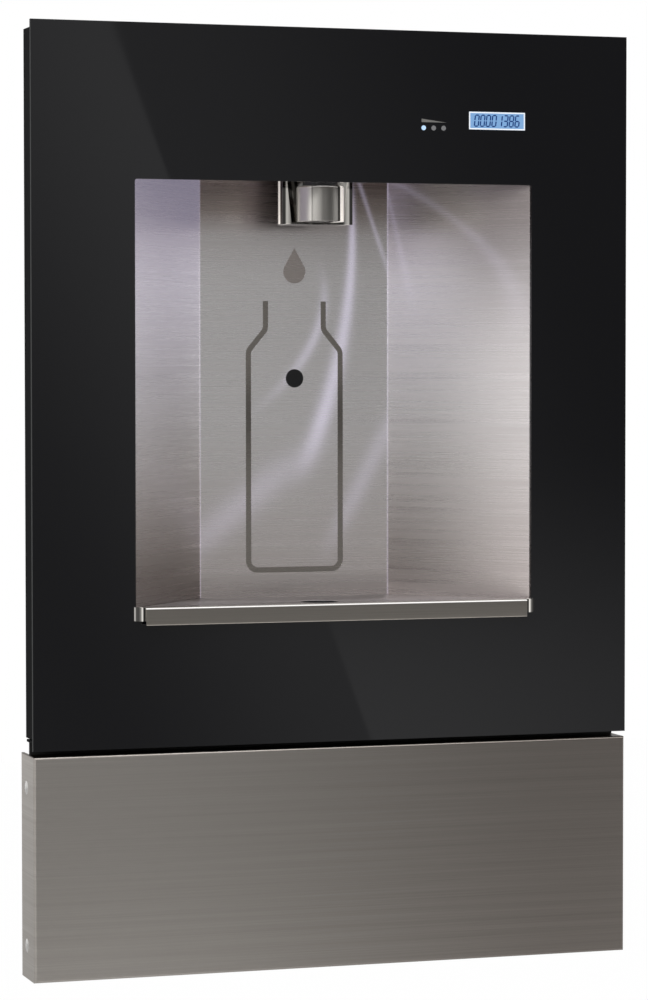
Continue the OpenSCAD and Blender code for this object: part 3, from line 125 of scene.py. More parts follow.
room_light, room_seen = 0.62, 1.0
world = bpy.data.worlds.new("studio")
world.use_nodes = True
scene.world = world
room_tree = world.node_tree
room = room_tree.nodes["Background"].inputs
ray = room_tree.nodes.new("ShaderNodeLightPath").outputs
seen = math_step(room_tree, "MAXIMUM", ray["Is Camera Ray"], ray["Is Transmission Ray"])
mirrored = math_step(room_tree, "MAXIMUM", seen, ray["Is Glossy Ray"])
feed(room_tree, room["Color"], (1, 1, 1))
feed(room_tree, room["Strength"], ramp_step(room_tree, mirrored, 0, 1, room_light, room_seen, "LINEAR"))


def place_lamp(name, spot, aim, size, watts):
    lamp_data = bpy.data.lights.new(name, "AREA")
    lamp_data.shape = "RECTANGLE"
    lamp_data.size, lamp_data.size_y = size
    lamp_data.energy = watts
    lamp = bpy.data.objects.new(name, lamp_data)
    lamp.location = spot
    lamp.rotation_euler = (Vector(aim) - Vector(spot)).to_track_quat("-Z", "Y").to_euler()
    scene.collection.objects.link(lamp)


place_lamp("left_lamp", spot=(-1.9, -1.7, 1.5), aim=(0, 0, 0.05), size=(1.2, 1.6), watts=26)
place_lamp("top_lamp", spot=(0.5, -0.9, 2.2), aim=(0, 0, 0.1), size=(1.4, 1.0), watts=14)


def plain_material(name, base=(0.5, 0.5, 0.5), rough=0.5, metal=0.0, **sockets):
    made = bpy.data.materials.new(name)
    made.use_nodes = True
    shader = made.node_tree.nodes["Principled BSDF"]
    shader.inputs["Base Color"].default_value = (*base, 1)
    shader.inputs["Roughness"].default_value = rough
    shader.inputs["Metallic"].default_value = metal
    for socket, value in sockets.items():
        shader.inputs[socket.replace("_", " ")].default_value = value
    return made


def flat_board(name, corners, material):
    mesh = bpy.data.meshes.new(name)
    mesh.from_pydata(corners, [], [(0, 1, 2, 3)])
    mesh.materials.append(material)
    board = bpy.data.objects.new(name, mesh)
    scene.collection.objects.link(board)
    return board


floor_drop, floor_reach, floor_glow = 0.55, 6, 0.99
floor_finish = plain_material("floor_paper", (0.9, 0.9, 0.9), 0.9)
floor_tree = floor_finish.node_tree
floor_ray = floor_tree.nodes.new("ShaderNodeLightPath").outputs
floor_mix = add_step(floor_tree, "ShaderNodeMixShader", {
    0: math_step(floor_tree, "MULTIPLY", floor_ray["Is Camera Ray"], floor_glow),
    1: floor_tree.nodes["Principled BSDF"].outputs[0],
    2: floor_tree.nodes.new("ShaderNodeEmission").outputs[0]})
feed(floor_tree, floor_tree.nodes["Material Output"].inputs["Surface"], floor_mix[0])
floor_z = cad_box[0][2] - floor_drop
flat_board("floor", [(-floor_reach, -floor_reach, floor_z), (floor_reach, -floor_reach, floor_z),
                     (floor_reach, floor_reach, floor_z), (-floor_reach, floor_reach, floor_z)], floor_finish)

# The flag stands behind the camera, so that only gloss sees it. Its brightness runs from the lit
# left part, over a straight slanted edge, to the dark right part.
flag_y, flag_left, flag_right, flag_reach = -2.6, -0.6, 3.2, 2.2
flag_finish = bpy.data.materials.new("flag_cloth")
flag_finish.use_nodes = True
flag_tree = flag_finish.node_tree
flag_tree.nodes.remove(flag_tree.nodes["Principled BSDF"])
flag_axes = axes_of(flag_tree)
flag_math, flag_ramp = partial(math_step, flag_tree), partial(ramp_step, flag_tree)

# The mirror image of a glass point lies on the flag at this stretch of its own place
glass_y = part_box("glass_panel")[0].y
stretch = 1 + (glass_y - flag_y) / (glass_y - eye.y)
flag_x = flag_math("MULTIPLY_ADD", flag_axes["X"], 1 / stretch, (stretch - 1) / stretch * eye.x)
flag_z = flag_math("MULTIPLY_ADD", flag_axes["Z"], 1 / stretch, (stretch - 1) / stretch * eye.z)
edge_top, edge_foot = Vector((-0.1616, 0.3295)), Vector((0.0247, -0.1693))
edge_blur = 0.0015
lean = (edge_foot.x - edge_top.x) / (edge_foot.y - edge_top.y)
edge_x = flag_math("MULTIPLY_ADD", flag_z, lean, edge_top.x - lean * edge_top.y)
from_edge = flag_math("SUBTRACT", flag_x, edge_x)

# Each ramp names the two places between which it runs, and the brightness at each of them
left_glow = flag_ramp(from_edge, -0.2, 0.0, 0.3, 0.6)
left_low = flag_ramp(flag_z, -0.1, 0.3, 0.72, 1.0)
right_fall = flag_ramp(from_edge, 0.0, 0.3, 0.34, 0.15)
right_foot = flag_ramp(flag_z, -0.17, 0.05, 0.3, 0.0)
edge_mask = flag_ramp(from_edge, -edge_blur, edge_blur)
left_part = flag_math("MULTIPLY", flag_math("MULTIPLY", left_glow, left_low),
                      flag_math("SUBTRACT", 1.0, edge_mask))
right_part = flag_math("MULTIPLY", flag_math("ADD", right_fall, right_foot), edge_mask)
flag_light = add_step(flag_tree, "ShaderNodeEmission", {"Strength": flag_math("ADD", left_part, right_part)})
feed(flag_tree, flag_tree.nodes["Material Output"].inputs["Surface"], flag_light[0])
flag = flat_board("flag", [(flag_left, flag_y, -flag_reach), (flag_right, flag_y, -flag_reach),
                           (flag_right, flag_y, flag_reach), (flag_left, flag_y, flag_reach)], flag_finish)
flag.visible_camera = False
flag.visible_diffuse = False
flag.visible_shadow = False
flag.visible_transmission = False

# Glass front: toughened float glass, black from behind, with a ground edge all round. It is taped
# to the backing frame. A thin arris on every edge catches the light.
same_point, same_plane = 2e-6, math.radians(0.5)


def dressed_copy(node, body, bevel=0.0, steps=2, angle=30):
    """A welded copy of a node, with broken edges and smooth faces, in the node's place."""
    source = nodes[node]
    mesh = source.data.copy()
    mesh.name = "dressed_" + node
    work = bmesh.new()
    work.from_mesh(mesh)
    bmesh.ops.remove_doubles(work, verts=work.verts, dist=same_point)
    bmesh.ops.dissolve_limit(work, angle_limit=same_plane, verts=work.verts, edges=work.edges)
    for face in work.faces:
        face.smooth = True
    for edge in work.edges:
        if len(edge.link_faces) == 2:
            edge.smooth = edge.calc_face_angle() < math.radians(angle)
    work.to_mesh(mesh)
    work.free()
    mesh.materials.clear()
    piece = bpy.data.objects.new("dressed_" + node, mesh)
    scene.collection.objects.link(piece)
    if bevel:
        chamfer = piece.modifiers.new("arris", "BEVEL")
        chamfer.width = bevel
        chamfer.segments = steps
        chamfer.limit_method = "ANGLE"
        chamfer.angle_limit = math.radians(angle)
        chamfer.harden_normals = False
    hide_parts(node)
    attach(piece, body)
    return piece


def noise_step(tree, place, scale, detail, rough=0.5):
    feeds = {"Vector": place, "Scale": scale, "Detail": detail, "Roughness": rough}
    return add_step(tree, "ShaderNodeTexNoise", feeds)


def mix_step(tree, share, a, b, blend="MIX"):
    """Mixes two colours, from a where share is 0 to b where it is 1."""
    feeds = {"Factor": share, "A": a, "B": b}
    return add_step(tree, "ShaderNodeMix", feeds, data_type="RGBA", blend_type=blend)["Result"]


glass_black, ground_grey = (0.003, 0.003, 0.004), (0.012, 0.013, 0.013)
clean_rough, smeared_rough, ground_rough = 0.015, 0.05, 0.75
black_glass = plain_material("black_glass", glass_black, 0.02, IOR=1.5)
glass_tree = black_glass.node_tree
glass_shader = glass_tree.nodes["Principled BSDF"].inputs
smear = noise_step(glass_tree, place_of(glass_tree), 9, 6)["Fac"]
smear_rough = ramp_step(glass_tree, smear, 0.35, 0.75, clean_rough, smeared_rough, "LINEAR")

# The ground left and right edges pass light, and look grey
glass_low, glass_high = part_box("glass_panel")
edge_skin = 0.00012
out_of_middle = math_step(glass_tree, "ABSOLUTE", axes_of(glass_tree)["X"])
on_edge = math_step(glass_tree, "GREATER_THAN", out_of_middle, glass_high.x - edge_skin)
edge_rough = math_step(glass_tree, "MULTIPLY_ADD", on_edge, ground_rough, smear_rough)
feed(glass_tree, glass_shader["Base Color"], mix_step(glass_tree, on_edge, glass_black, ground_grey))
feed(glass_tree, glass_shader["Roughness"], edge_rough)
glass = dressed_copy("glass_panel", "station", 0.0004, 2)
glass.data.materials.append(black_glass)

# Brushed stainless steel: one group makes the brush lines for every brushed piece. The lines run
# along one axis; the group gives their height, a shade and a roughness that varies with them.
finish_inputs = {"Place": "Vector", "Light": "Color", "Dark": "Color", "Smooth": "Float", "Rough": "Float"}
finish_outputs = {"Color": "Color", "Roughness": "Float", "Height": "Float"}
relief_depth = 0.0002


def shader_group(name, inputs, outputs):
    """An empty group with named sockets, and the two ends to link inside it."""
    group = bpy.data.node_groups.new(name, "ShaderNodeTree")
    for side, sockets in (("INPUT", inputs), ("OUTPUT", outputs)):
        for label, kind in sockets.items():
            group.interface.new_socket(label, in_out=side, socket_type="NodeSocket" + kind)
    return group, group.nodes.new("NodeGroupInput").outputs, group.nodes.new("NodeGroupOutput").inputs


def end_group(group, start, end, share, rough_from, rough_to, height):
    """Colour runs from dark to light with share, and roughness between two named inputs."""
    rub = ramp_step(group, share, 0, 1, start[rough_from], start[rough_to], "LINEAR")
    feed(group, end["Color"], mix_step(group, share, start["Dark"], start["Light"]))
    feed(group, end["Roughness"], rub)
    feed(group, end["Height"], height)


def patterned(made, group, light, dark, smooth, rough, depth, **pattern):
    """Gives a finish its colour, its roughness and its small relief from a group."""
    tree = made.node_tree
    shader = tree.nodes["Principled BSDF"].inputs
    feeds = {"Place": place_of(tree), "Light": light, "Dark": dark, "Smooth": smooth, "Rough": rough, **pattern}
    look = add_step(tree, "ShaderNodeGroup", feeds, node_tree=group)
    relief = {"Strength": depth, "Distance": relief_depth, "Height": look["Height"]}
    feed(tree, shader["Base Color"], look["Color"])
    feed(tree, shader["Roughness"], look["Roughness"])
    feed(tree, shader["Normal"], add_step(tree, "ShaderNodeBump", relief)["Normal"])
    return made


brush, brush_in, brush_out = shader_group("brush_lines", {**finish_inputs, "Lines": "Vector"}, finish_outputs)
stretched = add_step(brush, "ShaderNodeVectorMath", {0: brush_in["Place"], 1: brush_in["Lines"]},
                     operation="MULTIPLY")[0]
fine_share, wide_share = 0.6, 0.4
fine = noise_step(brush, stretched, 1.0, 5.0, 0.7)["Fac"]
wide = noise_step(brush, stretched, 0.12, 2.0)["Fac"]
both = math_step(brush, "MULTIPLY_ADD", wide, wide_share, math_step(brush, "MULTIPLY", fine, fine_share))
end_group(brush, brush_in, brush_out, ramp_step(brush, both, 0.3, 0.7, kind="LINEAR"), "Rough", "Smooth", fine)

# A fade multiplies a finish's colour between two places along one axis; it paints light and shade onto the
# finishes below
fade, fade_in, fade_out = shader_group("light_and_shade_fade", {
    "Color": "Color", "Place": "Float", "Start": "Float", "Start Color": "Color", "End": "Float",
    "End Color": "Color"}, {"Color": "Color"})
fade_share = ramp_step(fade, fade_in["Place"], fade_in["Start"], fade_in["End"])
fade_tint = mix_step(fade, fade_share, fade_in["Start Color"], fade_in["End Color"])
feed(fade, fade_out["Color"], mix_step(fade, 1, fade_in["Color"], fade_tint, "MULTIPLY"))


def add_fade(material, axis, start, start_tint, end, end_tint):
    """Multiplies the colour from start_tint at start to end_tint at end, along X, Y or Z, as painted light or
    shade.
    """
    tree = material.node_tree
    base = tree.nodes["Principled BSDF"].inputs["Base Color"]
    feeds = {"Color": base.links[0].from_socket, "Place": axes_of(tree)[axis], "Start": start,
             "Start Color": start_tint, "End": end, "End Color": end_tint}
    feed(tree, base, add_step(tree, "ShaderNodeGroup", feeds, node_tree=fade)["Color"])


def brushed_steel(name, lines, light, dark, smooth, rough, depth=0.12):
    """Lines is how close the brush lines lie along X, Y and Z."""
    made = plain_material(name, light, smooth, metal=1.0, Anisotropic=0.6)
    return patterned(made, brush, light, dark, smooth, rough, depth, Lines=lines)


# Lower panel: 1.2 mm stainless sheet, brushed from side to side before it was folded. It covers
# the filter bay and is held by two screws on either side.
panel_steel = brushed_steel("panel_steel", (7, 7, 1500), (0.5, 0.48, 0.455), (0.37, 0.35, 0.33), 0.3, 0.42)
# Painted light and shade: the panel is painted lighter at the left and darker to the right, and painted dark on
# its top return above the fold.
lit_x, dim_x = -0.19, 0.2
fold_shade_low, fold_shade_high = -0.17535, -0.17485
add_fade(panel_steel, "X", lit_x, (0.92, 0.9, 0.88), dim_x, (0.5, 0.47, 0.45))
add_fade(panel_steel, "Z", fold_shade_low, (1, 1, 1), fold_shade_high, (0.14, 0.11, 0.09))
lower_panel = dressed_copy("lower_panel", "lower_cover", 0.0003, 2)
lower_panel.data.materials.append(panel_steel)

# Alcove: one brushed stainless sheet with a back wall and two splayed walls, a ceiling plate and
# a floor plate. Nuts hold it to the backing frame. The bottle and the drop are bright steel let
# into the back wall.
alcove_steel = brushed_steel("alcove_steel", (5, 5, 1300), (1.0, 0.97, 0.97), (0.88, 0.85, 0.84), 0.22, 0.34,
                             depth=0.1)
# Painted shade: the alcove is painted darker towards its floor and under its ceiling, and its side walls darker
# than its back wall.
for axis, start, start_tint, end, end_tint in (("Z", -0.08, (0.8, 0.76, 0.74), 0.08, (1, 1, 1)),
                                               ("Z", 0.15, (1, 1, 1), 0.215, (0.74, 0.71, 0.7)),
                                               ("X", -0.0755, (0.86, 0.85, 0.87), -0.071, (1, 1, 1)),
                                               ("X", 0.071, (1, 1, 1), 0.146, (0.84, 0.82, 0.82))):
    add_fade(alcove_steel, axis, start, start_tint, end, end_tint)
steel_tree = alcove_steel.node_tree
steel_base = steel_tree.nodes["Principled BSDF"].inputs["Base Color"]
steel_axes = axes_of(steel_tree)
steel_math, steel_step = partial(math_step, steel_tree), partial(ramp_step, steel_tree)
streak_top, foot_fade, head_fade = 0.2, 0.06, 0.05
bell_base = 2.718


def caustic(start_x, bend, slope, width, spread, low_z, high_z, strength):
    """A streak of the ceiling's light, drawn as glow along a bent line: its X at streak_top, its
    bend and slope below that, its width and spread, the heights it fades at and its strength."""
    height = steel_axes["Z"]
    fall = steel_math("SUBTRACT", streak_top, height)
    line_x = steel_math("ADD", steel_math("MULTIPLY", steel_math("MULTIPLY", fall, fall), bend),
                        steel_math("MULTIPLY_ADD", fall, slope, start_x))
    half_width = steel_math("MULTIPLY_ADD", steel_math("MAXIMUM", fall, 0.0), spread, width)
    off = steel_math("DIVIDE", steel_math("SUBTRACT", steel_axes["X"], line_x), half_width)
    glow = steel_math("POWER", bell_base, steel_math("MULTIPLY", steel_math("MULTIPLY", off, off), -1.0))
    glow = steel_math("MULTIPLY", glow, steel_step(height, low_z, low_z + foot_fade))
    glow = steel_math("MULTIPLY", glow, steel_step(height, high_z, high_z - head_fade))
    return steel_math("MULTIPLY", glow, strength)


def at_height(mask, start_z, full_z):
    """The part of a wall past start_z, in full from full_z on."""
    return steel_math("MULTIPLY", steel_step(steel_axes["Z"], start_z, full_z), mask)


back_edge, fold_width, fold_blur = 0.0719, 0.0005, 0.001
fold_glow, glint_glow = 0.42, 0.62
out_x = steel_math("ABSOLUTE", steel_axes["X"])
on_back = steel_math("LESS_THAN", out_x, back_edge)
past_fold = steel_math("GREATER_THAN", steel_axes["X"], back_edge)
on_left = steel_step(steel_axes["X"], -back_edge, -back_edge - fold_blur)
on_right = steel_step(steel_axes["X"], 0.085, 0.13)
back_streaks = ((0.0445, -1.25, 0.02, 0.0026, 0.03, 0.0, 0.25, 0.8),
                (0.208, 0.0, -1.2, 0.018, 0.0, -0.075, 0.055, 0.3),
                (0.0040, -7.0, 0.728, 0.0022, 0.025, 0.05, 0.175, 0.5),
                (0.0599, 0.0, 0.35, 0.0018, 0.01, 0.13, 0.27, 0.4),
                (0.151, 0.0, -0.52, 0.008, 0.0, -0.06, 0.09, 0.3))
side_streaks = ((0.108, -6.35, 0.914, 0.0035, 0.05, 0.1, 0.27, 0.17),
                (0.0755, 0.0, 0.16, 0.0012, 0.03, 0.12, 0.26, 0.2))
streak_sum = 0.0
for streaks, wall in ((back_streaks, on_back), (side_streaks, past_fold)):
    for streak in streaks:
        streak_sum = steel_math("ADD", steel_math("MULTIPLY", caustic(*streak), wall), streak_sum)

# The two folds catch the ceiling light in a thin upright line, and the left wall high up
from_fold = steel_math("ABSOLUTE", steel_math("SUBTRACT", out_x, back_edge))
near_fold = steel_math("LESS_THAN", from_fold, fold_width)
streak_sum = steel_math("ADD", streak_sum, steel_math("MULTIPLY", near_fold, fold_glow))
left_glint = at_height(on_left, 0.02, 0.19)
streak_sum = steel_math("ADD", streak_sum, steel_math("MULTIPLY", left_glint, glint_glow))

# Each wall mirrors another part of the room, and is shaded for it on a stretch of its height
for mask, tint in ((at_height(on_back, 0.185, 0.212), (0.57, 0.52, 0.49)),
                   (on_left, (0.74, 0.76, 0.75)),
                   (at_height(on_left, 0.03, -0.08), (0.58, 0.57, 0.55)),
                   (at_height(on_right, 0.08, 0.2), (0.52, 0.51, 0.51))):
    shade = mix_step(steel_tree, mask, (1, 1, 1), tint)
    feed(steel_tree, steel_base, mix_step(steel_tree, 1, steel_base.links[0].from_socket, shade, "MULTIPLY"))


def add_glow(material, colour, strength):
    """Lets a finish give light, in a fixed colour or in one that a node works out."""
    shader = material.node_tree.nodes["Principled BSDF"].inputs
    feed(material.node_tree, shader["Emission Color"], colour)
    shader["Emission Strength"].default_value = strength


add_glow(alcove_steel, mix_step(steel_tree, streak_sum, (0.0, 0.0, 0.0), (0.5, 0.46, 0.62)), 0.6)
for node in ("alcove_shell", "alcove_ceiling", "alcove_floor"):
    piece = dressed_copy(node, "station", 0.00025, 2)
    piece.data.materials.append(alcove_steel)
dark_share = 0.9
# Painted reflection: the drop's steel has a lighter tint than the bottle's for what each mirrors, and both are
# painted darker from 0 to 0.06 m up and bright again above 0.1 m.
for node, tint in (("bottle_outline", (0.36, 0.33, 0.3)), ("water_drop", (0.58, 0.52, 0.49))):
    dark_tint = [c * dark_share for c in tint]
    sign_steel = brushed_steel("steel_of_" + node, (5, 5, 900), tint, dark_tint, 0.24, 0.32, depth=0.05)
    add_fade(sign_steel, "Z", 0.0, (1, 1, 1), 0.06, (0.62, 0.62, 0.62))
    add_fade(sign_steel, "Z", 0.06, (1, 1, 1), 0.1, (1.6, 1.6, 1.6))
    piece = dressed_copy(node, "station", 0.0001, 1, 40)
    piece.data.materials.append(sign_steel)

# Sensor window: a smoked polycarbonate disc, pressed into the back wall from behind. The fine
# grain group gives it, and every coated, moulded or plated piece below, its small unevenness.
grain, grain_in, grain_out = shader_group("fine_grain", {**finish_inputs, "Scale": "Float"}, finish_outputs)
grain_fine = noise_step(grain, grain_in["Place"], grain_in["Scale"], 3)["Fac"]
grain_wide = noise_step(grain, grain_in["Place"], 14, 4)["Fac"]
end_group(grain, grain_in, grain_out, grain_wide, "Smooth", "Rough", grain_fine)


def grained(name, light, dark, smooth, rough, scale=900.0, depth=0.15, metal=0.0, **sockets):
    """Two shades, two roughnesses, how fine the grain is and how deep."""
    made = plain_material(name, light, smooth, metal, **sockets)
    return patterned(made, grain, light, dark, smooth, rough, depth, Scale=scale)


sensor_black = grained("sensor_black", (0.004, 0.004, 0.005), (0.003, 0.003, 0.0035), 0.05, 0.12, scale=300.0,
                       depth=0.02, IOR=1.5)
window = dressed_copy("sensor_window", "station", 0.0002, 2)
window.data.materials.append(sensor_black)

# Nozzle: a chromed body on a black neck, and a polished shroud behind it, cut flat in front. The
# neck goes through the alcove's ceiling and is held by a nut above it.
chrome = grained("chrome", (0.68, 0.66, 0.62), (0.62, 0.6, 0.56), 0.05, 0.09, scale=300.0, depth=0.01, metal=1.0)
warm_green, warm_blue = 0.96, 0.9


def banded_chrome(name, low_x, high_x, bands, both_sides=False, smooth=(0.05, 0.09)):
    """Chrome with the upright bands that it mirrors from the front and the room drawn in, as
    (place across its width from 0 to 1, colour, glow)."""
    made = chrome.copy()
    made.name = name
    tree = made.node_tree
    shader = tree.nodes["Principled BSDF"].inputs
    across = axes_of(tree)["X"]
    if both_sides:
        across = math_step(tree, "ABSOLUTE", across)
    share = ramp_step(tree, across, low_x, high_x, kind="LINEAR")
    for socket, pick in (("Base Color", 1), ("Emission Color", 2)):
        ramp = tree.nodes.new("ShaderNodeValToRGB")
        while len(ramp.color_ramp.elements) < len(bands):
            ramp.color_ramp.elements.new(0.5)
        for element, band in zip(ramp.color_ramp.elements, bands):
            element.position = band[0]
            element.color = (band[pick], band[pick] * warm_green, band[pick] * warm_blue, 1)
        feed(tree, ramp.inputs["Fac"], share)
        feed(tree, shader[socket], ramp.outputs["Color"])
    shader["Emission Strength"].default_value = 1.0
    tree.nodes["Group"].inputs["Smooth"].default_value = smooth[0]
    tree.nodes["Group"].inputs["Rough"].default_value = smooth[1]
    return made


nozzle_bands = ((0.0, 0.6, 0.055), (0.17, 0.58, 0.055), (0.195, 0.2, 0.0), (0.21, 0.34, 0.02), (0.5, 0.32, 0.0),
                (0.74, 0.3, 0.0), (0.765, 0.02, 0.0), (0.8, 0.02, 0.0), (0.825, 1.0, 0.65), (0.93, 1.0, 0.4),
                (1.0, 0.3, 0.0))
shroud_bands = ((0.0, 0.08, 0.0), (0.72, 0.1, 0.0), (0.78, 0.55, 0.12), (0.86, 0.75, 0.25), (0.9, 0.12, 0.0),
                (0.995, 0.12, 0.0), (0.998, 1.0, 0.6), (1.0, 1.0, 0.6))
nozzle_chrome = banded_chrome("nozzle_chrome", -0.017, 0.017, nozzle_bands, smooth=(0.3, 0.34))
shroud_chrome = banded_chrome("shroud_chrome", 0.0, 0.027, shroud_bands, both_sides=True)
for node, finish in (("nozzle_body", nozzle_chrome), ("nozzle_shroud", shroud_chrome)):
    piece = dressed_copy(node, "station", 0.0002, 2)
    piece.data.materials.append(finish)

# Drip tray: a brushed pan with two creases, a polished lip over the glass edge and a brushed bar.
# It rests on the alcove's floor and lifts out.
tray_steel = brushed_steel("tray_steel", (6, 1200, 6), (0.46, 0.43, 0.44), (0.36, 0.34, 0.34), 0.25, 0.4,
                           depth=0.1)
tray = dressed_copy("drip_tray", "tray", 0.0002, 2)
tray.data.materials.append(tray_steel)
lip = dressed_copy("tray_lip", "tray", 0.0002, 2)
lip_bands = ((0.0, 0.6, 0.0), (0.955, 0.6, 0.0), (0.957, 0.1, 0.0), (0.965, 0.1, 0.0), (0.968, 1.0, 0.5),
             (0.973, 1.0, 0.5), (0.976, 0.25, 0.0), (0.985, 0.06, 0.0), (0.996, 0.06, 0.0), (0.998, 1.0, 0.5),
             (1.0, 1.0, 0.5))
lip.data.materials.append(banded_chrome("lip_chrome", 0.0, 0.148, lip_bands, both_sides=True))

# The bar carries a painted highlight along its foot, and a painted glint runs along its top
bar_steel = brushed_steel("bar_steel", (7, 7, 2200), (0.30, 0.28, 0.25), (0.22, 0.20, 0.18), 0.3, 0.42)
bar_tree = bar_steel.node_tree
bar_low, bar_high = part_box("tray_bar")
glint_low, glint_high = bar_high.z - 0.0009, bar_high.z - 0.0006
add_fade(bar_steel, "Z", bar_low.z + 0.0003, (2.4, 2.4, 2.4), bar_low.z + 0.0008, (1, 1, 1))
add_glow(bar_steel, ramp_step(bar_tree, axes_of(bar_tree)["Z"], glint_low, glint_high, kind="LINEAR"), 0.8)
bar = dressed_copy("tray_bar", "tray", 0.0001, 1)
bar.data.materials.append(bar_steel)

# Counter display: a lit window behind the glass, with a pale frame and slanted seven-stroke
# figures. The figures and the frame are thin films on the window's face.
def film(name, outlines, y, depth, material, body="station"):
    """Closed thin prisms from outlines in (x, z), from y back by depth."""
    work = bmesh.new()
    for outline in outlines:
        front = [work.verts.new((x, y, z)) for x, z in outline]
        back = [work.verts.new((x, y + depth, z)) for x, z in outline]
        work.faces.new(front)
        work.faces.new(list(reversed(back)))
        for i in range(len(outline)):
            j = (i + 1) % len(outline)
            work.faces.new((front[j], front[i], back[i], back[j]))
    bmesh.ops.recalc_face_normals(work, faces=work.faces)
    mesh = bpy.data.meshes.new(name)
    work.to_mesh(mesh)
    work.free()
    mesh.materials.append(material)
    piece = bpy.data.objects.new(name, mesh)
    scene.collection.objects.link(piece)
    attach(piece, body)
    return piece


def finish_nodes(material, *names):
    for name in names:
        nodes[name].data.materials.clear()
        nodes[name].data.materials.append(material)


window_low, window_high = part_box("counter_display")
window_mid = (window_low + window_high) / 2
window_face = window_low.y
window_blue = grained("window_blue", (0.11, 0.21, 0.36), (0.09, 0.18, 0.32), 0.2, 0.3, scale=400.0, depth=0.02)
add_glow(window_blue, (0.27, 0.5, 0.86), 0.45)
window_white = grained("window_white", (0.52, 0.52, 0.52), (0.46, 0.46, 0.46), 0.25, 0.38, depth=0.05)
add_glow(window_white, (0.86, 0.92, 1.0), 0.6)
figure_blue = grained("figure_blue", (0.006, 0.045, 0.22), (0.004, 0.035, 0.16), 0.4, 0.55, depth=0.05,
                      **{"Specular IOR Level": 0.0})
finish_nodes(window_blue, "counter_display")

film_t = 0.00004
rim = 0.0009
left, right = window_low.x, window_high.x
foot, head = window_low.z, window_high.z
strips = [
    [(left, foot), (right, foot), (right, foot + rim), (left, foot + rim)],
    [(left, head - rim), (right, head - rim), (right, head), (left, head)],
    [(left, foot + rim), (left + rim, foot + rim), (left + rim, head - rim), (left, head - rim)],
    [(right - rim, foot + rim), (right, foot + rim), (right, head - rim), (right - rim, head - rim)],
]
film("display_frame", strips, window_face - film_t, film_t, window_white)

figures = "00001386"
strokes_of = {"0": "abcdef", "1": "bc", "3": "abcdg", "6": "acdefg", "8": "abcdefg"}
figure_w, figure_h, stroke, pitch, slant = 0.0029, 0.0078, 0.00092, 0.0044, 0.1
half_w, half_h = figure_w / 2, figure_h / 2
end_gap = 0.15


def stroke_outline(ends):
    (x0, z0), (x1, z1) = ends
    along = Vector((x1 - x0, z1 - z0)).normalized()
    side = Vector((-along.y, along.x)) * stroke / 2
    start = Vector((x0, z0)) + along * stroke * end_gap
    stop = Vector((x1, z1)) - along * stroke * end_gap
    point = along * stroke / 2
    return [start, start + point - side, stop - point - side, stop, stop - point + side, start + point + side]


stroke_ends = {
    "a": ((-half_w, half_h), (half_w, half_h)), "b": ((half_w, half_h), (half_w, 0)),
    "c": ((half_w, 0), (half_w, -half_h)), "d": ((-half_w, -half_h), (half_w, -half_h)),
    "e": ((-half_w, 0), (-half_w, -half_h)), "f": ((-half_w, half_h), (-half_w, 0)),
    "g": ((-half_w, 0), (half_w, 0)),
}
figure_films = []
for place_number, figure in enumerate(figures):
    middle = window_mid.x + (place_number - (len(figures) - 1) / 2) * pitch
    for letter in strokes_of[figure]:
        figure_films.append([(middle + p.x + slant * p.y, window_mid.z + p.y)
                             for p in stroke_outline(stroke_ends[letter])])
film("display_figures", figure_films, window_face - film_t, film_t, figure_blue)

# Status lights: three round lenses level with the glass, the first one lit, under a wedge mark
# that is printed on the glass.
lens_unlit = grained("lens_unlit", (0.21, 0.21, 0.215), (0.18, 0.18, 0.185), 0.3, 0.42, scale=600.0, depth=0.05)
finish_nodes(lens_unlit, "status_lenses")
lens_low, lens_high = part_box("status_lenses")
lens_r = (lens_high.z - lens_low.z) / 2
lens_x = lens_low.x + lens_r
lens_z = (lens_low.z + lens_high.z) / 2
lens_lit = grained("lens_lit", (0.32, 0.42, 0.52), (0.26, 0.36, 0.46), 0.25, 0.35, scale=600.0, depth=0.05)
add_glow(lens_lit, (0.45, 0.68, 1.0), 0.62)
lit_r, lit_sides = lens_r * 0.97, 40
lit_disc = [(lens_x + lit_r * math.cos(a), lens_z + lit_r * math.sin(a))
            for a in (2 * math.pi * i / lit_sides for i in range(lit_sides))]
film("lit_lens", [lit_disc], lens_low.y - film_t, film_t, lens_lit)
print_grey = grained("print_grey", (0.18, 0.175, 0.165), (0.15, 0.145, 0.135), 0.45, 0.6, scale=2500.0, depth=0.1)
wedge_low, wedge_high = lens_z + 0.0040, lens_z + 0.0064
wedge_left, wedge_right = lens_x - 0.0016, lens_high.x + 0.0003
wedge = [(wedge_left, wedge_low), (wedge_right, wedge_low), (wedge_left, wedge_high)]
film("wedge_mark", [wedge], glass_low.y - film_t, film_t, print_grey)

# Backing frame and foot plate: folded steel with a fine black powder coat. The frame hangs on the
# rail and carries the glass, the alcove and the foot plate.
black_coat = grained("black_coat", (0.0035, 0.0035, 0.004), (0.0022, 0.0022, 0.0025), 0.6, 0.75, scale=1500.0,
                     depth=0.25, **{"Specular IOR Level": 0.02})
for node in ("backing_frame", "foot_plate"):
    piece = dressed_copy(node, "station", 0.0003, 2)
    piece.data.materials.append(black_coat)

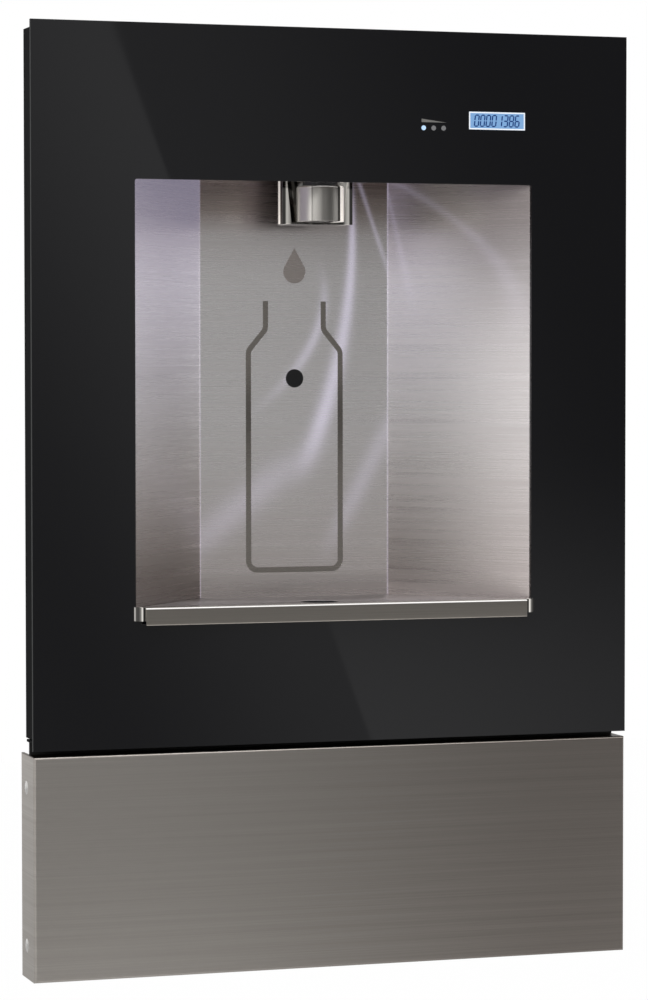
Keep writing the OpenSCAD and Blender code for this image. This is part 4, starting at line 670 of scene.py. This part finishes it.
# Joint seal: a strip of black foam glued under the foot plate. It hangs behind the lower panel's top
# return, so that no light shows through the open joint.
panel_low, panel_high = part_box("lower_panel")
seal_y, seal_t, seal_inset, seal_lap, glue_gap = -0.0161, 0.003, 0.004, 0.004, 0.0001
seal_work = bmesh.new()
bmesh.ops.create_cube(seal_work, size=1)
seal_top, seal_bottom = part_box("foot_plate")[0].z - glue_gap, panel_high.z - seal_lap
seal_size = Vector((panel_high.x - panel_low.x - seal_inset, seal_t, seal_top - seal_bottom))
for vert in seal_work.verts:
    vert.co = Vector((vert.co.x * seal_size.x, vert.co.y * seal_size.y + seal_y,
                      vert.co.z * seal_size.z + (seal_top + seal_bottom) / 2))
seal_mesh = bpy.data.meshes.new("joint_seal")
seal_work.to_mesh(seal_mesh)
seal_work.free()
seal = bpy.data.objects.new("joint_seal", seal_mesh)
scene.collection.objects.link(seal)
foam_black = grained("foam_black", (0.006, 0.006, 0.006), (0.003, 0.003, 0.003), 0.8, 0.95, scale=1400.0,
                     depth=0.4)
seal_mesh.materials.append(foam_black)
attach(seal, "station")

# Wall box, flange, rail and brackets: galvanised sheet with its zinc flowers. The box is welded up
# from five plates and fixed between the studs, and its flange carries the front.
zinc_scale, warp_scale, warp_share = 120, 60, 0.012
galvanised = plain_material("galvanised", (0.5, 0.52, 0.53), 0.42, 1.0)
zinc_tree = galvanised.node_tree
zinc_shader = zinc_tree.nodes["Principled BSDF"].inputs
zinc_place = place_of(zinc_tree)
zinc_warp = noise_step(zinc_tree, zinc_place, warp_scale, 3)["Color"]
zinc_spot = add_step(zinc_tree, "ShaderNodeMix", {"Factor": warp_share, "A": zinc_place, "B": zinc_warp},
                     data_type="VECTOR")["Result"]
zinc_cells = add_step(zinc_tree, "ShaderNodeTexVoronoi", {"Vector": zinc_spot, "Scale": zinc_scale})["Color"]
zinc_grey = add_step(zinc_tree, "ShaderNodeSeparateColor", {"Color": zinc_cells})
zinc_tint = mix_step(zinc_tree, zinc_grey["Red"], (0.5, 0.515, 0.53), (0.59, 0.605, 0.62))
feed(zinc_tree, zinc_shader["Base Color"], zinc_tint)
feed(zinc_tree, zinc_shader["Roughness"], ramp_step(zinc_tree, zinc_grey["Green"], 0, 1, 0.38, 0.48, "LINEAR"))
finish_nodes(galvanised, "wall_box", "wall_flange", "hanger_rail", "panel_brackets", "filter_bracket",
             "valve_bracket")

# Spot welds: they hold the back plate to the box's sides, in a row down each edge. A node group
# sets them out, each a shallow round dimple.
weld_rows = bpy.data.node_groups.new("weld_row", "GeometryNodeTree")
weld_rows.interface.new_socket("Geometry", in_out="OUTPUT", socket_type="NodeSocketGeometry")
weld_sockets = {}
for label, kind in (("Start", "Vector"), ("Step", "Vector"), ("Count", "Int"), ("Radius", "Float"),
                    ("Finish", "Material")):
    socket = weld_rows.interface.new_socket(label, in_out="INPUT", socket_type="NodeSocket" + kind)
    weld_sockets[label] = socket.identifier
weld_in = weld_rows.nodes.new("NodeGroupInput").outputs
weld_line = add_step(weld_rows, "GeometryNodeMeshLine", {
    "Start Location": weld_in["Start"], "Offset": weld_in["Step"], "Count": weld_in["Count"]})
weld_dot = add_step(weld_rows, "GeometryNodeMeshUVSphere", {
    "Segments": 20, "Rings": 10, "Radius": weld_in["Radius"]})
weld_put = add_step(weld_rows, "GeometryNodeInstanceOnPoints", {
    "Points": weld_line["Mesh"], "Instance": weld_dot["Mesh"], "Scale": (1, 0.12, 1)})
weld_real = add_step(weld_rows, "GeometryNodeRealizeInstances", {"Geometry": weld_put["Instances"]})
weld_coat = add_step(weld_rows, "GeometryNodeSetMaterial", {
    "Geometry": weld_real["Geometry"], "Material": weld_in["Finish"]})
feed(weld_rows, weld_rows.nodes.new("NodeGroupOutput").inputs["Geometry"], weld_coat["Geometry"])
weld_grey = grained("weld_grey", (0.3, 0.3, 0.31), (0.2, 0.2, 0.21), 0.4, 0.6, scale=1800.0, depth=0.3, metal=1.0)
weld_count, weld_r, weld_in_from_side, weld_in_from_end = 12, 0.0032, 0.008, 0.03
box_low, box_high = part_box("wall_box")
weld_pitch = (box_high.z - box_low.z - 2 * weld_in_from_end) / (weld_count - 1)
for side, weld_x in (("left", box_low.x + weld_in_from_side), ("right", box_high.x - weld_in_from_side)):
    welds = bpy.data.objects.new("spot_welds_" + side, bpy.data.meshes.new("spot_welds_" + side))
    scene.collection.objects.link(welds)
    rows = welds.modifiers.new("weld_row", "NODES")
    rows.node_group = weld_rows
    rows[weld_sockets["Start"]] = (weld_x, box_high.y, box_low.z + weld_in_from_end)
    rows[weld_sockets["Step"]] = (0.0, 0.0, weld_pitch)
    rows[weld_sockets["Count"]] = weld_count
    rows[weld_sockets["Radius"]] = weld_r
    rows[weld_sockets["Finish"]] = weld_grey
    welded = bpy.data.meshes.new_from_object(welds.evaluated_get(bpy.context.evaluated_depsgraph_get()))
    welds.modifiers.clear()
    welds.data = welded
    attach(welds, "station")

# Drain: a grey moulded cup and nuts, a chromed brass pipe, a rubber grommet and gasket. The cup is
# held under the alcove's floor by its nut. The sensor, straightener and leads share its materials.
moulded_grey = grained("moulded_grey", (0.3, 0.31, 0.32), (0.24, 0.25, 0.26), 0.4, 0.52, scale=1100.0, depth=0.12)
finish_nodes(moulded_grey, "drain_cup", "drain_nut", "slip_nut", "inlet_nut", "flow_straightener",
             "sensor_module")
pipe_chrome = grained("pipe_chrome", (0.78, 0.79, 0.8), (0.7, 0.71, 0.72), 0.08, 0.14, scale=300.0, depth=0.02,
                      metal=1.0)
finish_nodes(pipe_chrome, "drain_pipe", "inlet_fitting")
rubber = grained("rubber", (0.024, 0.024, 0.025), (0.014, 0.014, 0.015), 0.55, 0.75, scale=1800.0, depth=0.2)
finish_nodes(rubber, "drain_gasket", "pipe_grommet", "cable_bushing", "glass_tape", "filter_seals", "nozzle_seal",
             "inner_leads")

# Filter: a white moulded cartridge that turns in its head, which is fixed to the filter bracket,
# and the white plastic water tubes. The control unit's cover is moulded in the same white.
moulded_white = grained("moulded_white", (0.82, 0.82, 0.8), (0.74, 0.74, 0.72), 0.32, 0.45, scale=1000.0,
                        depth=0.08)
finish_nodes(moulded_white, "filter_head", "filter_cartridge", "control_cover")
tube_white = grained("tube_white", (0.72, 0.74, 0.75), (0.62, 0.64, 0.66), 0.25, 0.35, scale=500.0, depth=0.04)
finish_nodes(tube_white, "inlet_tube", "filtered_tube", "nozzle_tube")

# Valve: a cast brass body on its bracket, with a coil moulded in black resin. The supply unit, the
# strainer, the nozzle's neck and its nut are the same black.
cast_brass = grained("cast_brass", (0.62, 0.44, 0.19), (0.5, 0.34, 0.13), 0.3, 0.5, scale=700.0, depth=0.35,
                     metal=1.0)
finish_nodes(cast_brass, "valve_body")
moulded_black = grained("moulded_black", (0.02, 0.02, 0.022), (0.012, 0.012, 0.013), 0.35, 0.5, scale=1100.0)
finish_nodes(moulded_black, "valve_coil", "supply_unit", "drain_strainer", "nozzle_neck", "neck_nut")

# Circuit boards: glass fibre under green solder mask. The light's lies on its lens, the counter's
# behind its window and the control unit's under its cover. Their tracks aren't drawn.
board_green = grained("board_green", (0.02, 0.17, 0.07), (0.012, 0.11, 0.045), 0.25, 0.4, scale=500.0, depth=0.05)
finish_nodes(board_green, "light_board", "display_board", "control_board")

# Ceiling lens: frosted plastic, let into the alcove's ceiling plate and lit from the board above
# it. Its own glow stands for that light.
frosted = grained("frosted", (0.82, 0.84, 0.87), (0.74, 0.76, 0.79), 0.4, 0.55, scale=1600.0, depth=0.2)
add_glow(frosted, (0.93, 0.96, 1.0), 1.5)
finish_nodes(frosted, "light_lens")

# Screws, nuts and plunger: zinc-plated or stainless steel. The screws and nuts hold the rail, the
# frame, the brackets, the foot plate, the alcove and the lower panel. The plunger slides in the
# valve's guide.
screw_steel = grained("screw_steel", (0.62, 0.61, 0.59), (0.54, 0.53, 0.51), 0.2, 0.3, scale=400.0, depth=0.05,
                      metal=1.0)
finish_nodes(screw_steel, "panel_screws", "panel_nuts", "alcove_nuts", "mounting_screws", "valve_plunger")

# Valve spring: stainless wire, wound. It sits above the plunger in the guide, rides with the plunger and has a
# mesh of its own.
spring = dressed_copy("valve_spring", "plunger")
spring.data.materials.append(screw_steel)
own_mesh(spring)
